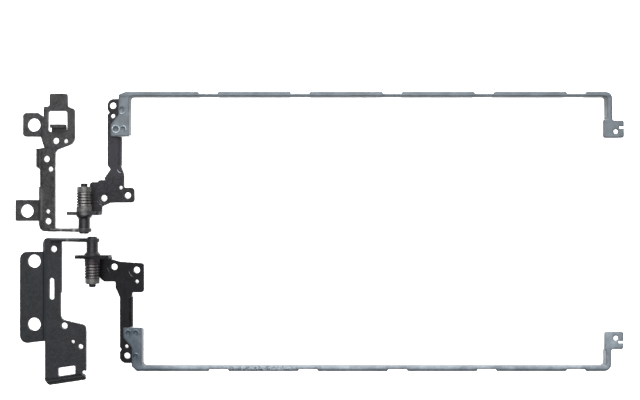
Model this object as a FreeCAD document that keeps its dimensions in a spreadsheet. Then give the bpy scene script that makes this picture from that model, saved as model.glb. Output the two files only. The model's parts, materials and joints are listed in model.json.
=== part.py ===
import FreeCAD, Part
import math
import os
import re

import Sketcher

# A pair of laptop screen hinges, opened flat, lying on a table.
# Millimetres. X runs along the side rails, Y along the hinge shafts, Z up from the table.
# Each hinge is drawn about its own shaft: x from the shaft's axis, and the distance along
# the shaft from the middle of the base bracket's arm, counted towards the lock nut.

SIZES = {
    # Where each hinge lies in the pair
    "left_shaft_x": -103.15,
    "left_arm_y": 4.1,
    "right_shaft_x": -99.55,
    "right_arm_y": -0.3,
    # Sheet metal shared by the brackets
    "bracket_sheet": 1.5,
    "bend_radius": 0.6,
    "bend_leg": 0.5,
    "base_step": 1.8,
    "base_fold_run": 1.3,
    "arm_hub_radius": 3.1,
    "arm_root_height": 3.4,
    "ear_radius": 4.0,
    "ear_shoulder_drop": 1.6,
    "ear_shoulder_radius": 1.5,
    "stop_lug_reach": 7.6,
    "stop_lug_height": 2.8,
    "stop_lug_radius": 0.8,
    "flange_drop": 3.4,
    # Shaft, from the riveted head to the threaded end
    "rivet_head_radius": 2.2,
    "rivet_head_height": 0.8,
    "rivet_head_chamfer": 0.5,
    "tenon_radius": 1.6,
    "barrel_radius": 2.5,
    "barrel_length": 4.4,
    "collar_radius": 3.4,
    "collar_cone": 1.0,
    "collar_rim": 0.5,
    "seat_radius": 2.0,
    "seat_flats": 3.2,
    "thread_radius": 1.5,
    "thread_end": 1.5,
    "thread_chamfer": 0.3,
    # Pieces threaded on the shaft
    "washer_radius": 3.35,
    "friction_washer_thickness": 1.2,
    "key_tang_width": 0.7,
    "key_tang_height": 0.7,
    "key_tang_circle": 2.75,
    "keyed_washer_thickness": 1.2,
    "spring_radius": 3.3,
    "spring_sheet": 0.4,
    "spring_dish": 0.22,
    "spring_pairs": 5,
    "nut_flats": 5.5,
    "nut_height": 2.4,
    "nut_chamfer_angle": 30,
    # Clearances, on the radius
    "running_clearance": 0.05,
    "key_clearance": 0.05,
    "spring_clearance": 0.1,
    "rivet_clearance": 0.02,
    "thread_clearance": 0.02,
    "button_clearance": 0.04,
    # Left base bracket, distances out from the shaft
    "left_base_near": 14.5,
    "left_base_strip": 7.7,
    "left_base_corner": 3.8,
    "left_base_fold_start": 17.2,
    "left_base_low_joggle": 20.9,
    "left_base_high_joggle": 19.7,
    "left_base_flange_out": 23.4,
    "left_base_recess_out": 21.3,
    "left_base_recess_start": 19.2,
    "left_base_recess_end": 26.9,
    "left_base_recess_slope": 1.3,
    "left_base_flange_end": 36.3,
    "left_base_neck_out": 19.2,
    "left_base_neck_along": 36.6,
    "left_base_low_tab_out": 32.7,
    "left_base_low_tab_start": 3.9,
    "left_base_low_tab_width": 9.5,
    "left_base_high_tab_out": 29.3,
    "left_base_high_tab_start": 41.7,
    "left_base_high_tab_width": 10.7,
    "left_base_high_tab_cut": 2.9,
    "left_base_high_tab_cut_drop": 2.2,
    "left_base_low_tab_corner": 0.6,
    "left_base_high_tab_corner": 1.5,
    "left_base_head_out": 19.6,
    "left_base_head_near": 5.7,
    "left_base_head_low": 38.7,
    "left_base_head_low_radius": 4.0,
    "left_base_strip_top": 35.4,
    "left_base_strip_fillet": 2.4,
    "left_base_shoulder_out": 55.1,
    "left_base_shoulder_near": 54.0,
    "left_base_head_corner": 0.9,
    "left_base_shoulder_corner": 1.6,
    "left_base_crown_out": 16.9,
    "left_base_crown_near": 8.9,
    "left_base_crown_end": 60.8,
    "left_base_crown_fillet": 0.8,
    "left_base_window_out": 17.6,
    "left_base_window_near": 8.9,
    "left_base_window_start": 43.8,
    "left_base_window_end": 53.1,
    "left_base_window_radius": 1.1,
    "left_base_flap_out": 15.9,
    "left_base_flap_near": 9.4,
    "left_base_flap_reach": 3.1,
    "left_base_flap_height": 2.4,
    # Right base bracket, distances out from the shaft
    "right_base_near": 15.2,
    "right_base_strip": 8.8,
    "right_base_corner": 2.9,
    "right_base_waist_along": 23.5,
    "right_base_waist_step": 0.4,
    "right_base_fold_start": 20.2,
    "right_base_joggle": 22.5,
    "right_base_plate_out": 34.3,
    "right_base_plate_start": 5.5,
    "right_base_plate_end": 46.9,
    "right_base_plate_rise": 1.5,
    "right_base_plate_corner": 3.2,
    "right_base_plate_low_corner": 3.4,
    "right_base_foot_out": 22.6,
    "right_base_foot_near": 4.2,
    "right_base_foot_start": 35.6,
    "right_base_foot_slope": 2.7,
    "right_base_foot_fillet": 2.6,
    "right_base_foot_corner": 2.2,
    "right_base_foot_end": 62.2,
    "right_base_lip_slant": 8.5,
    "right_base_lip_flat": 1.25,
    "right_base_lip_short": 1.1,
    "right_base_lip_corner": 1.8,
    "right_base_lip_end_corner": 0.6,
    "right_base_relief_radius": 1.15,
    "right_base_relief_in": 0.7,
    "right_base_slot_out": 19.5,
    "right_base_slot_start": 18.2,
    "right_base_slot_length": 7.5,
    "right_base_slot_width": 2.3,
    "right_base_window_out": 16.75,
    "right_base_window_near": 8.9,
    "right_base_window_gap": 0.1,
    "right_base_window_height": 3.9,
    "right_base_window_radius": 0.7,
    # Screw and locating holes
    "boss_hole": 5.9,
    "screw_hole": 2.9,
    "small_screw_hole": 2.3,
    "locating_hole": 2.0,
    "pin_hole": 1.7,
    # Left display bracket
    "left_display_plate_out": 1.4,
    "left_display_fold_end": 6.7,
    "left_display_fold_rise": 1.6,
    "left_display_near_along": 12.1,
    "left_display_near_x": 10.6,
    "left_display_screw_ear_x": 21.2,
    "left_display_screw_ear_along": 18.8,
    "left_display_screw_ear_radius": 1.5,
    "left_display_waist_x": 16.6,
    "left_display_waist_along": 24.6,
    "left_display_plate_far": 21.3,
    "left_display_plate_step": 0.9,
    "left_display_plate_step_x": 4.8,
    "left_display_plate_corner": 1.3,
    "left_display_coin_radius": 2.3,
    "left_display_coin_depth": 0.2,
    "left_display_neck_x": 8.1,
    "left_display_neck_along": 23.4,
    "left_display_neck_tip": 1.4,
    "left_display_neck_tip_along": 27.0,
    "left_display_arm_x": 9.3,
    "left_display_arm_width": 5.8,
    "left_display_arm_start": 28.7,
    "left_display_pad_start": 42.3,
    "left_display_notch_along": 52.3,
    "left_display_notch_half": 1.2,
    "left_display_notch_depth": 0.9,
    "left_display_end_along": 58.3,
    # Right display bracket
    "right_display_plate_out": 1.8,
    "right_display_fold_end": 7.5,
    "right_display_shoulder_x": 11.2,
    "right_display_shoulder_along": 9.8,
    "right_display_plate_x": 21.8,
    "right_display_plate_near": 10.5,
    "right_display_plate_far": 23.4,
    "right_display_plate_corner": 1.1,
    "right_display_back_far": 16.4,
    "right_display_back_step": 2.2,
    "right_display_back_slope": 2.4,
    "right_display_neck_x": 9.3,
    "right_display_neck_along": 21.3,
    "right_display_arm_x": 11.2,
    "right_display_arm_width": 5.3,
    "right_display_arm_start": 25.6,
    "right_display_pad_start": 40.2,
    "right_display_notch_along": 48.8,
    "right_display_notch_half": 1.0,
    "right_display_notch_depth": 0.8,
    "right_display_end_along": 54.9,
    "lug_radius": 2.8,
    "pad_corner": 0.6,
    "pad_clearance": 0.3,
    # Side rails
    "rail_sheet": 0.6,
    "rail_depth": 5.0,
    "rail_leg": 2.15,
    "rail_bend": 0.5,
    "rail_flange_setback": 0.8,
    "rail_inner_corner": 1.3,
    "rail_outer_corner": 3.1,
    "rail_notches": 5,
    "rail_notch_floor": 8.0,
    "rail_notch_mouth": 9.2,
    "rail_notch_depth": 0.9,
    "flange_notch_depth": 0.9,
    "button_radius": 1.3,
    "button_dimple": 0.9,
    "button_dimple_depth": 0.5,
    "button_reach": 0.8,
    "tab_corner": 0.9,
    "tab_hole": 2.1,
    "tab_slot_width": 1.0,
    "tab_slot_depth": 2.1,
    "tab_slot_drop": 2.6,
    "left_rail_face": 19.0,
    "left_rail_inner": 59.3,
    "left_rail_length": 212.7,
    "left_rail_plate_start": 41.5,
    "left_rail_plate_x": 10.8,
    "left_rail_plate_x_far": 14.3,
    "left_rail_plate_slope_start": 46.8,
    "left_rail_plate_slope_end": 51.2,
    "left_rail_chamfer": 3.2,
    "left_rail_chamfer_drop": 1.3,
    "left_rail_first_notch": 35.2,
    "left_rail_notch_pitch": 40.9,
    "left_rail_tab_start": 40.9,
    "left_rail_tab_height": 7.8,
    "left_rail_tab_inset": 1.9,
    "left_rail_tab_width": 9.2,
    "left_rail_tab_hole_x": 5.6,
    "left_rail_tab_hole_along": 2.8,
    "left_rail_flange_gap": 1.0,
    "right_rail_face": 21.05,
    "right_rail_inner": 56.2,
    "right_rail_length": 206.55,
    "right_rail_plate_start": 39.0,
    "right_rail_plate_x": 12.8,
    "right_rail_plate_x_far": 16.6,
    "right_rail_plate_slope_start": 43.4,
    "right_rail_plate_slope_end": 48.0,
    "right_rail_chamfer": 2.3,
    "right_rail_chamfer_drop": 2.2,
    "right_rail_first_notch": 34.25,
    "right_rail_notch_pitch": 39.7,
    "right_rail_tab_start": 40.8,
    "right_rail_tab_height": 7.8,
    "right_rail_tab_inset": 0.9,
    "right_rail_tab_width": 8.4,
    "right_rail_tab_hole_x": 5.1,
    "right_rail_tab_hole_along": 2.9,
    "right_rail_flange_gap": 0.8,
}

# Sizes that follow from the ones above
FORMULAS = {
    "bend_outer": "bend_radius + bracket_sheet",
    "half_arm": "bracket_sheet / 2",
    "display_floor": "rail_depth - rail_sheet - bracket_sheet",
    "display_top": "rail_depth - rail_sheet",
    "shaft_height": "rail_depth - rail_sheet + ear_radius",
    "fold_angle": "atan(base_step / base_fold_run)",
    "fold_shift": "bracket_sheet * tan(fold_angle / 2)",
    "ear_face": "half_arm + barrel_length + collar_cone + collar_rim",
    "ear_back": "ear_face + bracket_sheet",
    "ear_bore": "seat_radius + running_clearance",
    "keyed_face": "ear_back + friction_washer_thickness",
    "spring_face": "keyed_face + keyed_washer_thickness",
    "spring_height": "spring_sheet + spring_dish",
    "nut_face": "spring_face + 2 * spring_pairs * spring_height",
    "shaft_end": "nut_face + nut_height + thread_end",
    "plate_fold": "ear_face + bend_outer",
}

# Holes of each bracket: the size that sets the hole, its place from the shaft's axis, and along the shaft
HOLES = {
    "left_base": {
        "low_boss": ("boss_hole", -27.5, 8.4),
        "high_boss": ("boss_hole", -24.4, 47.0),
        "arm_screw": ("screw_hole", -17.5, 3.8),
        "arm_pin": ("locating_hole", -17.6, 8.2),
        "strip_pin": ("small_screw_hole", -16.4, 27.1),
        "strip_screw": ("screw_hole", -18.2, 31.6),
        "head_screw": ("screw_hole", -14.0, 39.7),
        "head_pin": ("locating_hole", -9.6, 39.6),
    },
    "right_base": {
        "near_boss": ("boss_hole", -27.9, 9.7),
        "far_boss": ("boss_hole", -27.9, 38.0),
        "arm_screw": ("screw_hole", -18.6, 4.2),
        "foot_screw": ("screw_hole", -13.85, 38.5),
        "foot_pin": ("pin_hole", -10.0, 45.6),
        "foot_edge_screw": ("small_screw_hole", -6.6, 47.8),
    },
    "left_display": {
        "near_screw": ("screw_hole", 7.7, 14.1),
        "ear_screw": ("screw_hole", 18.3, 15.3),
        "plate_pin": ("pin_hole", 15.2, 18.8),
        "lug_pin": ("locating_hole", 11.7, 50.7),
        "lug_screw": ("screw_hole", 11.7, 55.3),
    },
    "right_display": {
        "near_screw": ("screw_hole", 8.7, 12.1),
        "corner_screw": ("screw_hole", 18.7, 13.5),
        "plate_pin": ("pin_hole", 18.8, 18.6),
        "lug_pin": ("pin_hole", 14.2, 47.5),
        "lug_screw": ("screw_hole", 14.4, 51.7),
    },
}

# Clinched buttons that join each rail to its display bracket
BUTTONS = {
    "left": {"near_out": (13.1, 44.9), "near_in": (16.4, 45.0), "far": (15.7, 53.7)},
    "right": {"near_out": (15.0, 41.4), "near_in": (18.4, 41.4), "far": (18.3, 51.6)},
}

# How far a cutting profile reaches past the metal that it trims
CUT_MARGIN = 2.0
SIDES = ("left", "right")
WORD = re.compile(r"[a-z][a-z0-9_]*")
OUT_OF_TABLE = FreeCAD.Vector(0, 0, 1)


def add_hole_sizes():
    """Give every hole's and button's place its own named size."""
    for bracket, holes in HOLES.items():
        for hole, (_, x, along) in holes.items():
            SIZES[f"{bracket}_{hole}_x"] = x
            SIZES[f"{bracket}_{hole}_along"] = along
    for side, buttons in BUTTONS.items():
        for button, (x, along) in buttons.items():
            SIZES[f"{side}_button_{button}_x"] = x
            SIZES[f"{side}_button_{button}_along"] = along


def fill_sheet(document):
    """Write the sizes to the document's sheet, each cell with its alias."""
    sheet = document.addObject("Spreadsheet::Sheet", "Sizes")
    for row, (name, size) in enumerate(SIZES.items(), start=1):
        sheet.set(f"A{row}", name)
        sheet.set(f"B{row}", str(size))
        sheet.setAlias(f"B{row}", name)
    document.recompute()
    return sheet


def bound(formula):
    """Write a formula of size names as an expression on the sheet's cells."""
    def cell(match):
        word = match.group()
        if word in FORMULAS:
            return f"({bound(FORMULAS[word])})"
        return f"Sizes.{word}" if word in SIZES else word
    return WORD.sub(cell, str(formula))


def value(formula):
    """Read a formula's present value as a plain number."""
    result = sheet.evalExpression(bound(formula))
    return float(getattr(result, "Value", result))


def new_body(name):
    body = document.addObject("PartDesign::Body", name)
    body.Label = name
    return body


def place(piece, x, y, z, turn=0):
    """Put a piece in the pair's frame, turned about X by a fixed angle."""
    piece.Placement = FreeCAD.Placement(FreeCAD.Vector(), FreeCAD.Rotation(FreeCAD.Vector(1, 0, 0), turn))
    for letter, formula in zip("xyz", (x, y, z)):
        piece.setExpression(f"Placement.Base.{letter}", bound(formula))


def place_bracket(body, side):
    place(body, f"{side}_shaft_x", f"{side}_arm_y", "0")


def place_on_shaft(piece, side, along):
    """Stand a turned piece on its hinge's shaft, its own Z towards the nut."""
    towards_nut = "+" if side == "left" else "-"
    y = f"{side}_arm_y {towards_nut} ({along})"
    place(piece, f"{side}_shaft_x", y, "shaft_height", -90 if side == "left" else 90)


def sketch_on(body, plane, name, offset="0"):
    """Start a sketch on one of the body's own planes, moved along its normal."""
    sketch = body.newObject("Sketcher::SketchObject", f"{body.Name}_{name}")
    support = next(item for item in body.Origin.OriginFeatures if item.Role == plane)
    sketch.AttachmentSupport = [(support, "")]
    sketch.MapMode = "FlatFace"
    sketch.setExpression("AttachmentOffset.Base.z", bound(offset))
    return sketch


def across(side, along):
    """The frame's Y, from the body's own origin, of a distance along the shaft."""
    return along if side == "left" else f"-({along})"


def add_rules(sketch, rules):
    """Add constraints, each with the formula that drives it or None."""
    first = sketch.ConstraintCount
    sketch.addConstraint([rule for rule, _ in rules])
    for index, (_, formula) in enumerate(rules, start=first):
        if formula is not None:
            sketch.setExpression(f"Constraints[{index}]", bound(formula))


def at_place(geometry, point, x, y):
    """Rules that hold a sketch point at two formulas from the origin."""
    return [
        (Sketcher.Constraint("DistanceX", -1, 1, geometry, point, value(x)), x),
        (Sketcher.Constraint("DistanceY", -1, 1, geometry, point, value(y)), y),
    ]


def round_corner(before, here, after, radius):
    """Where an arc leaves and meets the two edges of a corner, and its centre."""
    to_before = (before - here).normalize()
    to_after = (after - here).normalize()
    half = math.acos(to_before.dot(to_after)) / 2
    reach = radius / math.tan(half)
    middle = (to_before + to_after).normalize()
    centre = here + middle * (radius / math.sin(half))
    return here + to_before * reach, here + to_after * reach, centre


def arc_between(start, end, centre, radius, turns_left):
    """The short arc from start to end, drawn anticlockwise as sketches keep it."""
    first, last = (start, end) if turns_left else (end, start)
    first_angle = math.atan2(first.y - centre.y, first.x - centre.x)
    last_angle = math.atan2(last.y - centre.y, last.x - centre.x)
    if last_angle < first_angle:
        last_angle += 2 * math.pi
    return Part.ArcOfCircle(Part.Circle(centre, OUT_OF_TABLE, radius), first_angle, last_angle)


def outline(sketch, corners):
    """Draw a closed outline through corners (x, y) or (x, y, rounding), all formulas."""
    corners = [corner if len(corner) == 3 else (*corner, None) for corner in corners]
    places = [FreeCAD.Vector(value(x), value(y), 0) for x, y, _ in corners]
    count = len(corners)
    leaves, meets, arcs, turns = [], [], {}, {}
    for index, (_, _, rounding) in enumerate(corners):
        before, here, after = places[index - 1], places[index], places[(index + 1) % count]
        if rounding is None:
            meets.append(here)
            leaves.append(here)
            continue
        radius = value(rounding)
        start, end, centre = round_corner(before, here, after, radius)
        turns[index] = (here - before).cross(after - here).z > 0
        arcs[index] = arc_between(start, end, centre, radius, turns[index])
        meets.append(start)
        leaves.append(end)
    edges = [Part.LineSegment(leaves[i], meets[(i + 1) % count]) for i in range(count)]
    lines = sketch.addGeometry(edges, False)
    rules = []
    for index, (x, y, rounding) in enumerate(corners):
        last_line, next_line = lines[index - 1], lines[index]
        if rounding is None:
            rules.append((Sketcher.Constraint("Coincident", last_line, 2, next_line, 1), None))
            rules += at_place(next_line, 1, x, y)
            continue
        arc = sketch.addGeometry(arcs[index], False)
        mark = sketch.addGeometry(Part.Point(places[index]), True)
        head, tail = (1, 2) if turns[index] else (2, 1)
        rules.append((Sketcher.Constraint("Tangent", last_line, 2, arc, head), None))
        rules.append((Sketcher.Constraint("Tangent", arc, tail, next_line, 1), None))
        rules.append((Sketcher.Constraint("Radius", arc, value(rounding)), rounding))
        rules.append((Sketcher.Constraint("PointOnObject", mark, 1, last_line), None))
        rules.append((Sketcher.Constraint("PointOnObject", mark, 1, next_line), None))
        rules += at_place(mark, 1, x, y)
    add_rules(sketch, rules)


def circle(sketch, x, y, radius):
    """Draw a circle whose centre and radius are formulas."""
    centre = FreeCAD.Vector(value(x), value(y), 0)
    ring = sketch.addGeometry(Part.Circle(centre, OUT_OF_TABLE, value(radius)), False)
    rules = [(Sketcher.Constraint("Radius", ring, value(radius)), radius)]
    add_rules(sketch, rules + at_place(ring, 3, x, y))


def square(sketch, x, y, half):
    """Draw a square about its middle, all formulas."""
    steps = (("-", "-"), ("+", "-"), ("+", "+"), ("-", "+"))
    outline(sketch, [(f"{x} {right} ({half})", f"{y} {up} ({half})") for right, up in steps])


def slot(sketch, x, start, end, radius):
    """Draw a round-ended slot between two centres on one x."""
    low, high = FreeCAD.Vector(value(x), value(start), 0), FreeCAD.Vector(value(x), value(end), 0)
    if low.y > high.y:
        low, high, start, end = high, low, end, start
    reach = FreeCAD.Vector(value(radius), 0, 0)
    top = Part.ArcOfCircle(Part.Circle(high, OUT_OF_TABLE, reach.x), 0, math.pi)
    bottom = Part.ArcOfCircle(Part.Circle(low, OUT_OF_TABLE, reach.x), math.pi, 2 * math.pi)
    right = Part.LineSegment(low + reach, high + reach)
    left = Part.LineSegment(high - reach, low - reach)
    right, top, left, bottom = sketch.addGeometry([right, top, left, bottom], False)
    rules = [
        (Sketcher.Constraint("Tangent", right, 2, top, 1), None),
        (Sketcher.Constraint("Tangent", top, 2, left, 1), None),
        (Sketcher.Constraint("Tangent", left, 2, bottom, 1), None),
        (Sketcher.Constraint("Tangent", bottom, 2, right, 1), None),
        (Sketcher.Constraint("Equal", top, bottom), None),
        (Sketcher.Constraint("Radius", top, value(radius)), radius),
    ]
    add_rules(sketch, rules + at_place(top, 3, x, end) + at_place(bottom, 3, x, start))


def pad(body, sketch, length, back=False):
    """Add metal from a sketch, along its normal or back against it."""
    feature = body.newObject("PartDesign::Pad", f"{sketch.Name}_pad")
    feature.Profile = sketch
    feature.setExpression("Length", bound(length))
    feature.Reversed = back
    document.recompute()
    return feature


def pocket(body, sketch, depth=None, back=False):
    """Cut with a sketch, right through both ways or to a depth, and prove that it cut."""
    document.recompute()
    before = body.Shape.Volume
    feature = body.newObject("PartDesign::Pocket", f"{sketch.Name}_cut")
    feature.Profile = sketch
    if depth is None:
        feature.Type = "ThroughAll"
        feature.SideType = "Symmetric"
    else:
        feature.setExpression("Length", bound(depth))
        feature.Reversed = back
    document.recompute()
    if body.Shape.Volume >= before:
        raise RuntimeError(f"{feature.Name} cuts nothing")
    return feature


def revolve(body, sketch):
    """Turn a profile, radius across and length up, about the sketch's vertical axis."""
    feature = body.newObject("PartDesign::Revolution", f"{sketch.Name}_turned")
    feature.Profile = sketch
    feature.ReferenceAxis = (sketch, ["V_Axis"])
    feature.Angle = 360
    document.recompute()


def round_edges(body, name, points, radius):
    """Round the edges that pass through points, given as formulas in the body's own frame."""
    base = body.Tip
    marks = [Part.Vertex(*(value(formula) for formula in point)) for point in points]
    names = []
    for index, edge in enumerate(base.Shape.Edges, start=1):
        if any(edge.distToShape(mark)[0] < value("running_clearance") for mark in marks):
            names.append(f"Edge{index}")
    feature = body.newObject("PartDesign::Fillet", f"{body.Name}_{name}")
    feature.Base = (base, names)
    feature.setExpression("Radius", bound(radius))
    document.recompute()


def drill(body, bracket, side, extra=()):
    """Cut a bracket's holes, and any extra circles (x, along, radius)."""
    sketch = sketch_on(body, "XY_Plane", "holes")
    for hole, (size, _, _) in HOLES[bracket].items():
        along = across(side, f"{bracket}_{hole}_along")
        circle(sketch, f"{bracket}_{hole}_x", along, f"{size} / 2")
    for x, along, radius in extra:
        circle(sketch, x, across(side, along), radius)
    pocket(body, sketch)


def fold_section(start, face, floor, top):
    """Section of a sheet that runs flat from start and turns up at its outer face."""
    step = "+" if value(face) > value(start) else "-"
    back = "-" if step == "+" else "+"
    inside = f"{face} {back} bracket_sheet"
    return [
        (start, floor),
        (face, floor, "bend_outer"),
        (face, top),
        (inside, top),
        (inside, f"{floor} + bracket_sheet", "bend_radius"),
        (start, f"{floor} + bracket_sheet"),
    ]


def fold_up(body, name, side, run, floor, top, low_x, high_x):
    """Fold a sheet up, its section running along the shaft, between two places on X."""
    start, face = run
    sketch = sketch_on(body, "YZ_Plane", name, low_x)
    section = fold_section(start, face, floor, top)
    outline(sketch, [(across(side, corner[0]), *corner[1:]) for corner in section])
    pad(body, sketch, f"({high_x}) - ({low_x})")


def upright(body, name, side, face, draw):
    """Stand a sheet on edge, its face across the shaft, and drawn by a function."""
    offset = f"-({face})" if side == "left" else face
    sketch = sketch_on(body, "XZ_Plane", name, offset)
    draw(sketch)
    pad(body, sketch, "bracket_sheet", back=side == "left")


def bore(body, name, x, z, radius):
    """Drill along the shaft through an upright sheet."""
    sketch = sketch_on(body, "XZ_Plane", name)
    circle(sketch, x, z, radius)
    pocket(body, sketch)


def joggle(body, side, name, span=("0", None)):
    """Trim a thick plate to a sheet that steps down to an outer tab, all along or over a start and length."""
    out, run = f"{side}_base_{name}", "base_fold_run"
    floor, roof = "base_step", "base_step + bracket_sheet"
    low_foot, low_head = f"fold_shift - {out} - {run}", f"fold_shift - {out}"
    start, length = span
    under = sketch_on(body, "XZ_Plane", f"{name}_under", f"-({start})")
    outline(under, [
        (f"{low_foot} - {CUT_MARGIN}", "0"),
        (low_foot, "0", "bend_outer"),
        (low_head, floor, "bend_radius"),
        ("0", floor),
        ("0", f"-{CUT_MARGIN}"),
        (f"{low_foot} - {CUT_MARGIN}", f"-{CUT_MARGIN}"),
    ])
    pocket(body, under, length)
    reach = "left_base_low_tab_out" if side == "left" else "right_base_plate_out"
    over = sketch_on(body, "XZ_Plane", f"{name}_over", f"-({start})")
    outline(over, [
        (f"-{reach} - {CUT_MARGIN}", "bracket_sheet"),
        (f"-{out} - {run}", "bracket_sheet", "bend_radius"),
        (f"-{out}", roof, "bend_outer"),
        (f"{CUT_MARGIN} - {out}", roof),
        (f"{CUT_MARGIN} - {out}", f"{roof} + {CUT_MARGIN}"),
        (f"-{reach} - {CUT_MARGIN}", f"{roof} + {CUT_MARGIN}"),
    ])
    pocket(body, over, length)


def base_arm(body, side):
    """Turn the strip's end up into the arm that holds the riveted end of the shaft."""
    fold_start, near = f"-{side}_base_fold_start", f"-{side}_base_near"
    root = "base_step + bend_outer"
    run = ("bend_outer + bend_leg - half_arm", "-half_arm")
    fold_up(body, "arm_fold", side, run, "base_step", f"{root} + bend_leg", fold_start, near)

    def web(sketch):
        outline(sketch, [
            (fold_start, root),
            (near, root),
            ("0", "shaft_height - arm_hub_radius"),
            ("0", "shaft_height + arm_hub_radius"),
            (fold_start, "base_step + arm_root_height", "bend_radius"),
        ])

    upright(body, "arm", side, "-half_arm", web)
    upright(body, "arm_hub", side, "-half_arm", lambda s: circle(s, "0", "shaft_height", "arm_hub_radius"))
    bore(body, "rivet_hole", "0", "shaft_height", "tenon_radius + rivet_clearance")


def left_base_bracket():
    """Narrow strip with a windowed head, two boss tabs and the shaft's arm."""
    side = "left"
    body = new_body("left_base_bracket")
    strip_out = "-(left_base_near + left_base_strip)"
    low_end = "left_base_low_tab_start + left_base_low_tab_width"
    high_end = "left_base_high_tab_start + left_base_high_tab_width"
    low_corner, high_corner = "left_base_low_tab_corner", "left_base_high_tab_corner"
    head_corner = "left_base_head_corner"
    plate = sketch_on(body, "XY_Plane", "plate")
    outline(plate, [
        ("-left_base_near", "bend_outer - half_arm"),
        ("-left_base_fold_start", "bend_outer - half_arm"),
        ("-left_base_fold_start", "-half_arm"),
        (strip_out, "-half_arm", "left_base_corner"),
        (strip_out, "left_base_low_tab_start"),
        ("-left_base_low_tab_out", "left_base_low_tab_start", low_corner),
        ("-left_base_low_tab_out", low_end, low_corner),
        (strip_out, low_end),
        (strip_out, "left_base_recess_start"),
        ("-left_base_recess_out", "left_base_recess_start"),
        ("-left_base_recess_out", "left_base_recess_end"),
        ("-left_base_flange_out", "left_base_recess_end + left_base_recess_slope"),
        ("-left_base_flange_out", "left_base_flange_end"),
        ("-left_base_neck_out", "left_base_neck_along"),
        ("-left_base_recess_out", "left_base_high_tab_start"),
        ("-left_base_high_tab_out", "left_base_high_tab_start", high_corner),
        ("-left_base_high_tab_out", high_end, high_corner),
        ("-left_base_head_out - left_base_high_tab_cut", high_end),
        ("-left_base_head_out", f"{high_end} - left_base_high_tab_cut_drop"),
        ("-left_base_head_out", "left_base_shoulder_out", head_corner),
        ("-left_base_crown_out", "left_base_shoulder_out", "left_base_crown_fillet"),
        ("-left_base_crown_out", "left_base_crown_end", head_corner),
        ("-left_base_crown_near", "left_base_crown_end", head_corner),
        ("-left_base_crown_near", "left_base_shoulder_out", "left_base_crown_fillet"),
        ("-left_base_head_near", "left_base_shoulder_near", "left_base_shoulder_corner"),
        ("-left_base_head_near", "left_base_head_low", "left_base_head_low_radius"),
        ("-left_base_near", "left_base_strip_top", "left_base_strip_fillet"),
    ])
    pad(body, plate, "base_step + bracket_sheet")
    neck = "left_base_neck_along"
    joggle(body, side, "low_joggle", (f"-half_arm - {CUT_MARGIN}", f"half_arm + {CUT_MARGIN} + {neck}"))
    joggle(body, side, "high_joggle", (neck, f"left_base_crown_end + {CUT_MARGIN} - {neck}"))
    window = sketch_on(body, "XY_Plane", "window")
    corner = "left_base_window_radius"
    outline(window, [
        ("-left_base_window_out", "left_base_window_start", corner),
        ("-left_base_window_near", "left_base_window_start", corner),
        ("-left_base_window_near", "left_base_window_end", corner),
        ("-left_base_window_out", "left_base_window_end", corner),
    ])
    pocket(body, window)
    run = ("left_base_window_start - bend_leg", "left_base_window_start + left_base_flap_reach")
    top = "base_step + bracket_sheet + left_base_flap_height"
    fold_up(body, "flap", side, run, "base_step", top, "-left_base_flap_out", "-left_base_flap_near")
    base_arm(body, side)
    drill(body, "left_base", side)
    place_bracket(body, side)
    return body


def right_base_bracket():
    """Strip with a long boss plate, a wide foot with a slanted lip, and the shaft's arm."""
    side = "right"
    body = new_body("right_base_bracket")
    strip_out = "-(right_base_near + right_base_strip)"
    waist = "-(right_base_near + right_base_waist_step)"
    slope = "tan(right_base_lip_slant * 1 deg)"

    def fold_at(out):
        return f"right_base_foot_end - (right_base_foot_out - ({out})) * {slope}"

    corners = [
        ("-right_base_near", "bend_outer - half_arm"),
        ("-right_base_fold_start", "bend_outer - half_arm"),
        ("-right_base_fold_start", "-half_arm"),
        (strip_out, "-half_arm", "right_base_corner"),
        (strip_out, "right_base_plate_start"),
        ("-right_base_plate_out", "right_base_plate_start", "right_base_plate_corner"),
        ("-right_base_plate_out", "right_base_plate_end", "right_base_plate_low_corner"),
        ("-right_base_foot_out", "right_base_plate_end - right_base_plate_rise"),
        ("-right_base_foot_out", "right_base_foot_end"),
        ("-right_base_foot_near", fold_at("right_base_foot_near")),
        ("-right_base_foot_near", "right_base_foot_start + right_base_foot_slope", "right_base_foot_corner"),
        (waist, "right_base_foot_start", "right_base_foot_fillet"),
        (waist, "right_base_waist_along + right_base_waist_step"),
        ("-right_base_near", "right_base_waist_along"),
    ]
    plate = sketch_on(body, "XY_Plane", "plate")
    outline(plate, [(x, across(side, along), *rest) for x, along, *rest in corners])
    pad(body, plate, "base_step + bracket_sheet")
    joggle(body, side, "joggle")
    right_base_lip(body)
    cuts = sketch_on(body, "XY_Plane", "windows")
    slot_end = "right_base_slot_start + right_base_slot_length"
    slot(cuts, "-right_base_slot_out", across(side, "right_base_slot_start"), across(side, slot_end),
         "right_base_slot_width / 2")

    def window_corner(edge, rise):
        along = f"{fold_at(edge)} - right_base_window_gap - {rise}"
        return (f"-{edge}", across(side, along), "right_base_window_radius")

    height = "right_base_window_height"
    outline(cuts, [
        window_corner("right_base_window_out", "0"),
        window_corner("right_base_window_near", "0"),
        window_corner("right_base_window_near", height),
        window_corner("right_base_window_out", height),
    ])
    pocket(body, cuts)
    base_arm(body, side)
    bite = "right_base_foot_near + right_base_relief_in"
    drill(body, "right_base", side, [(f"-({bite})", fold_at(bite), "right_base_relief_radius")])
    place_bracket(body, side)
    return body


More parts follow.
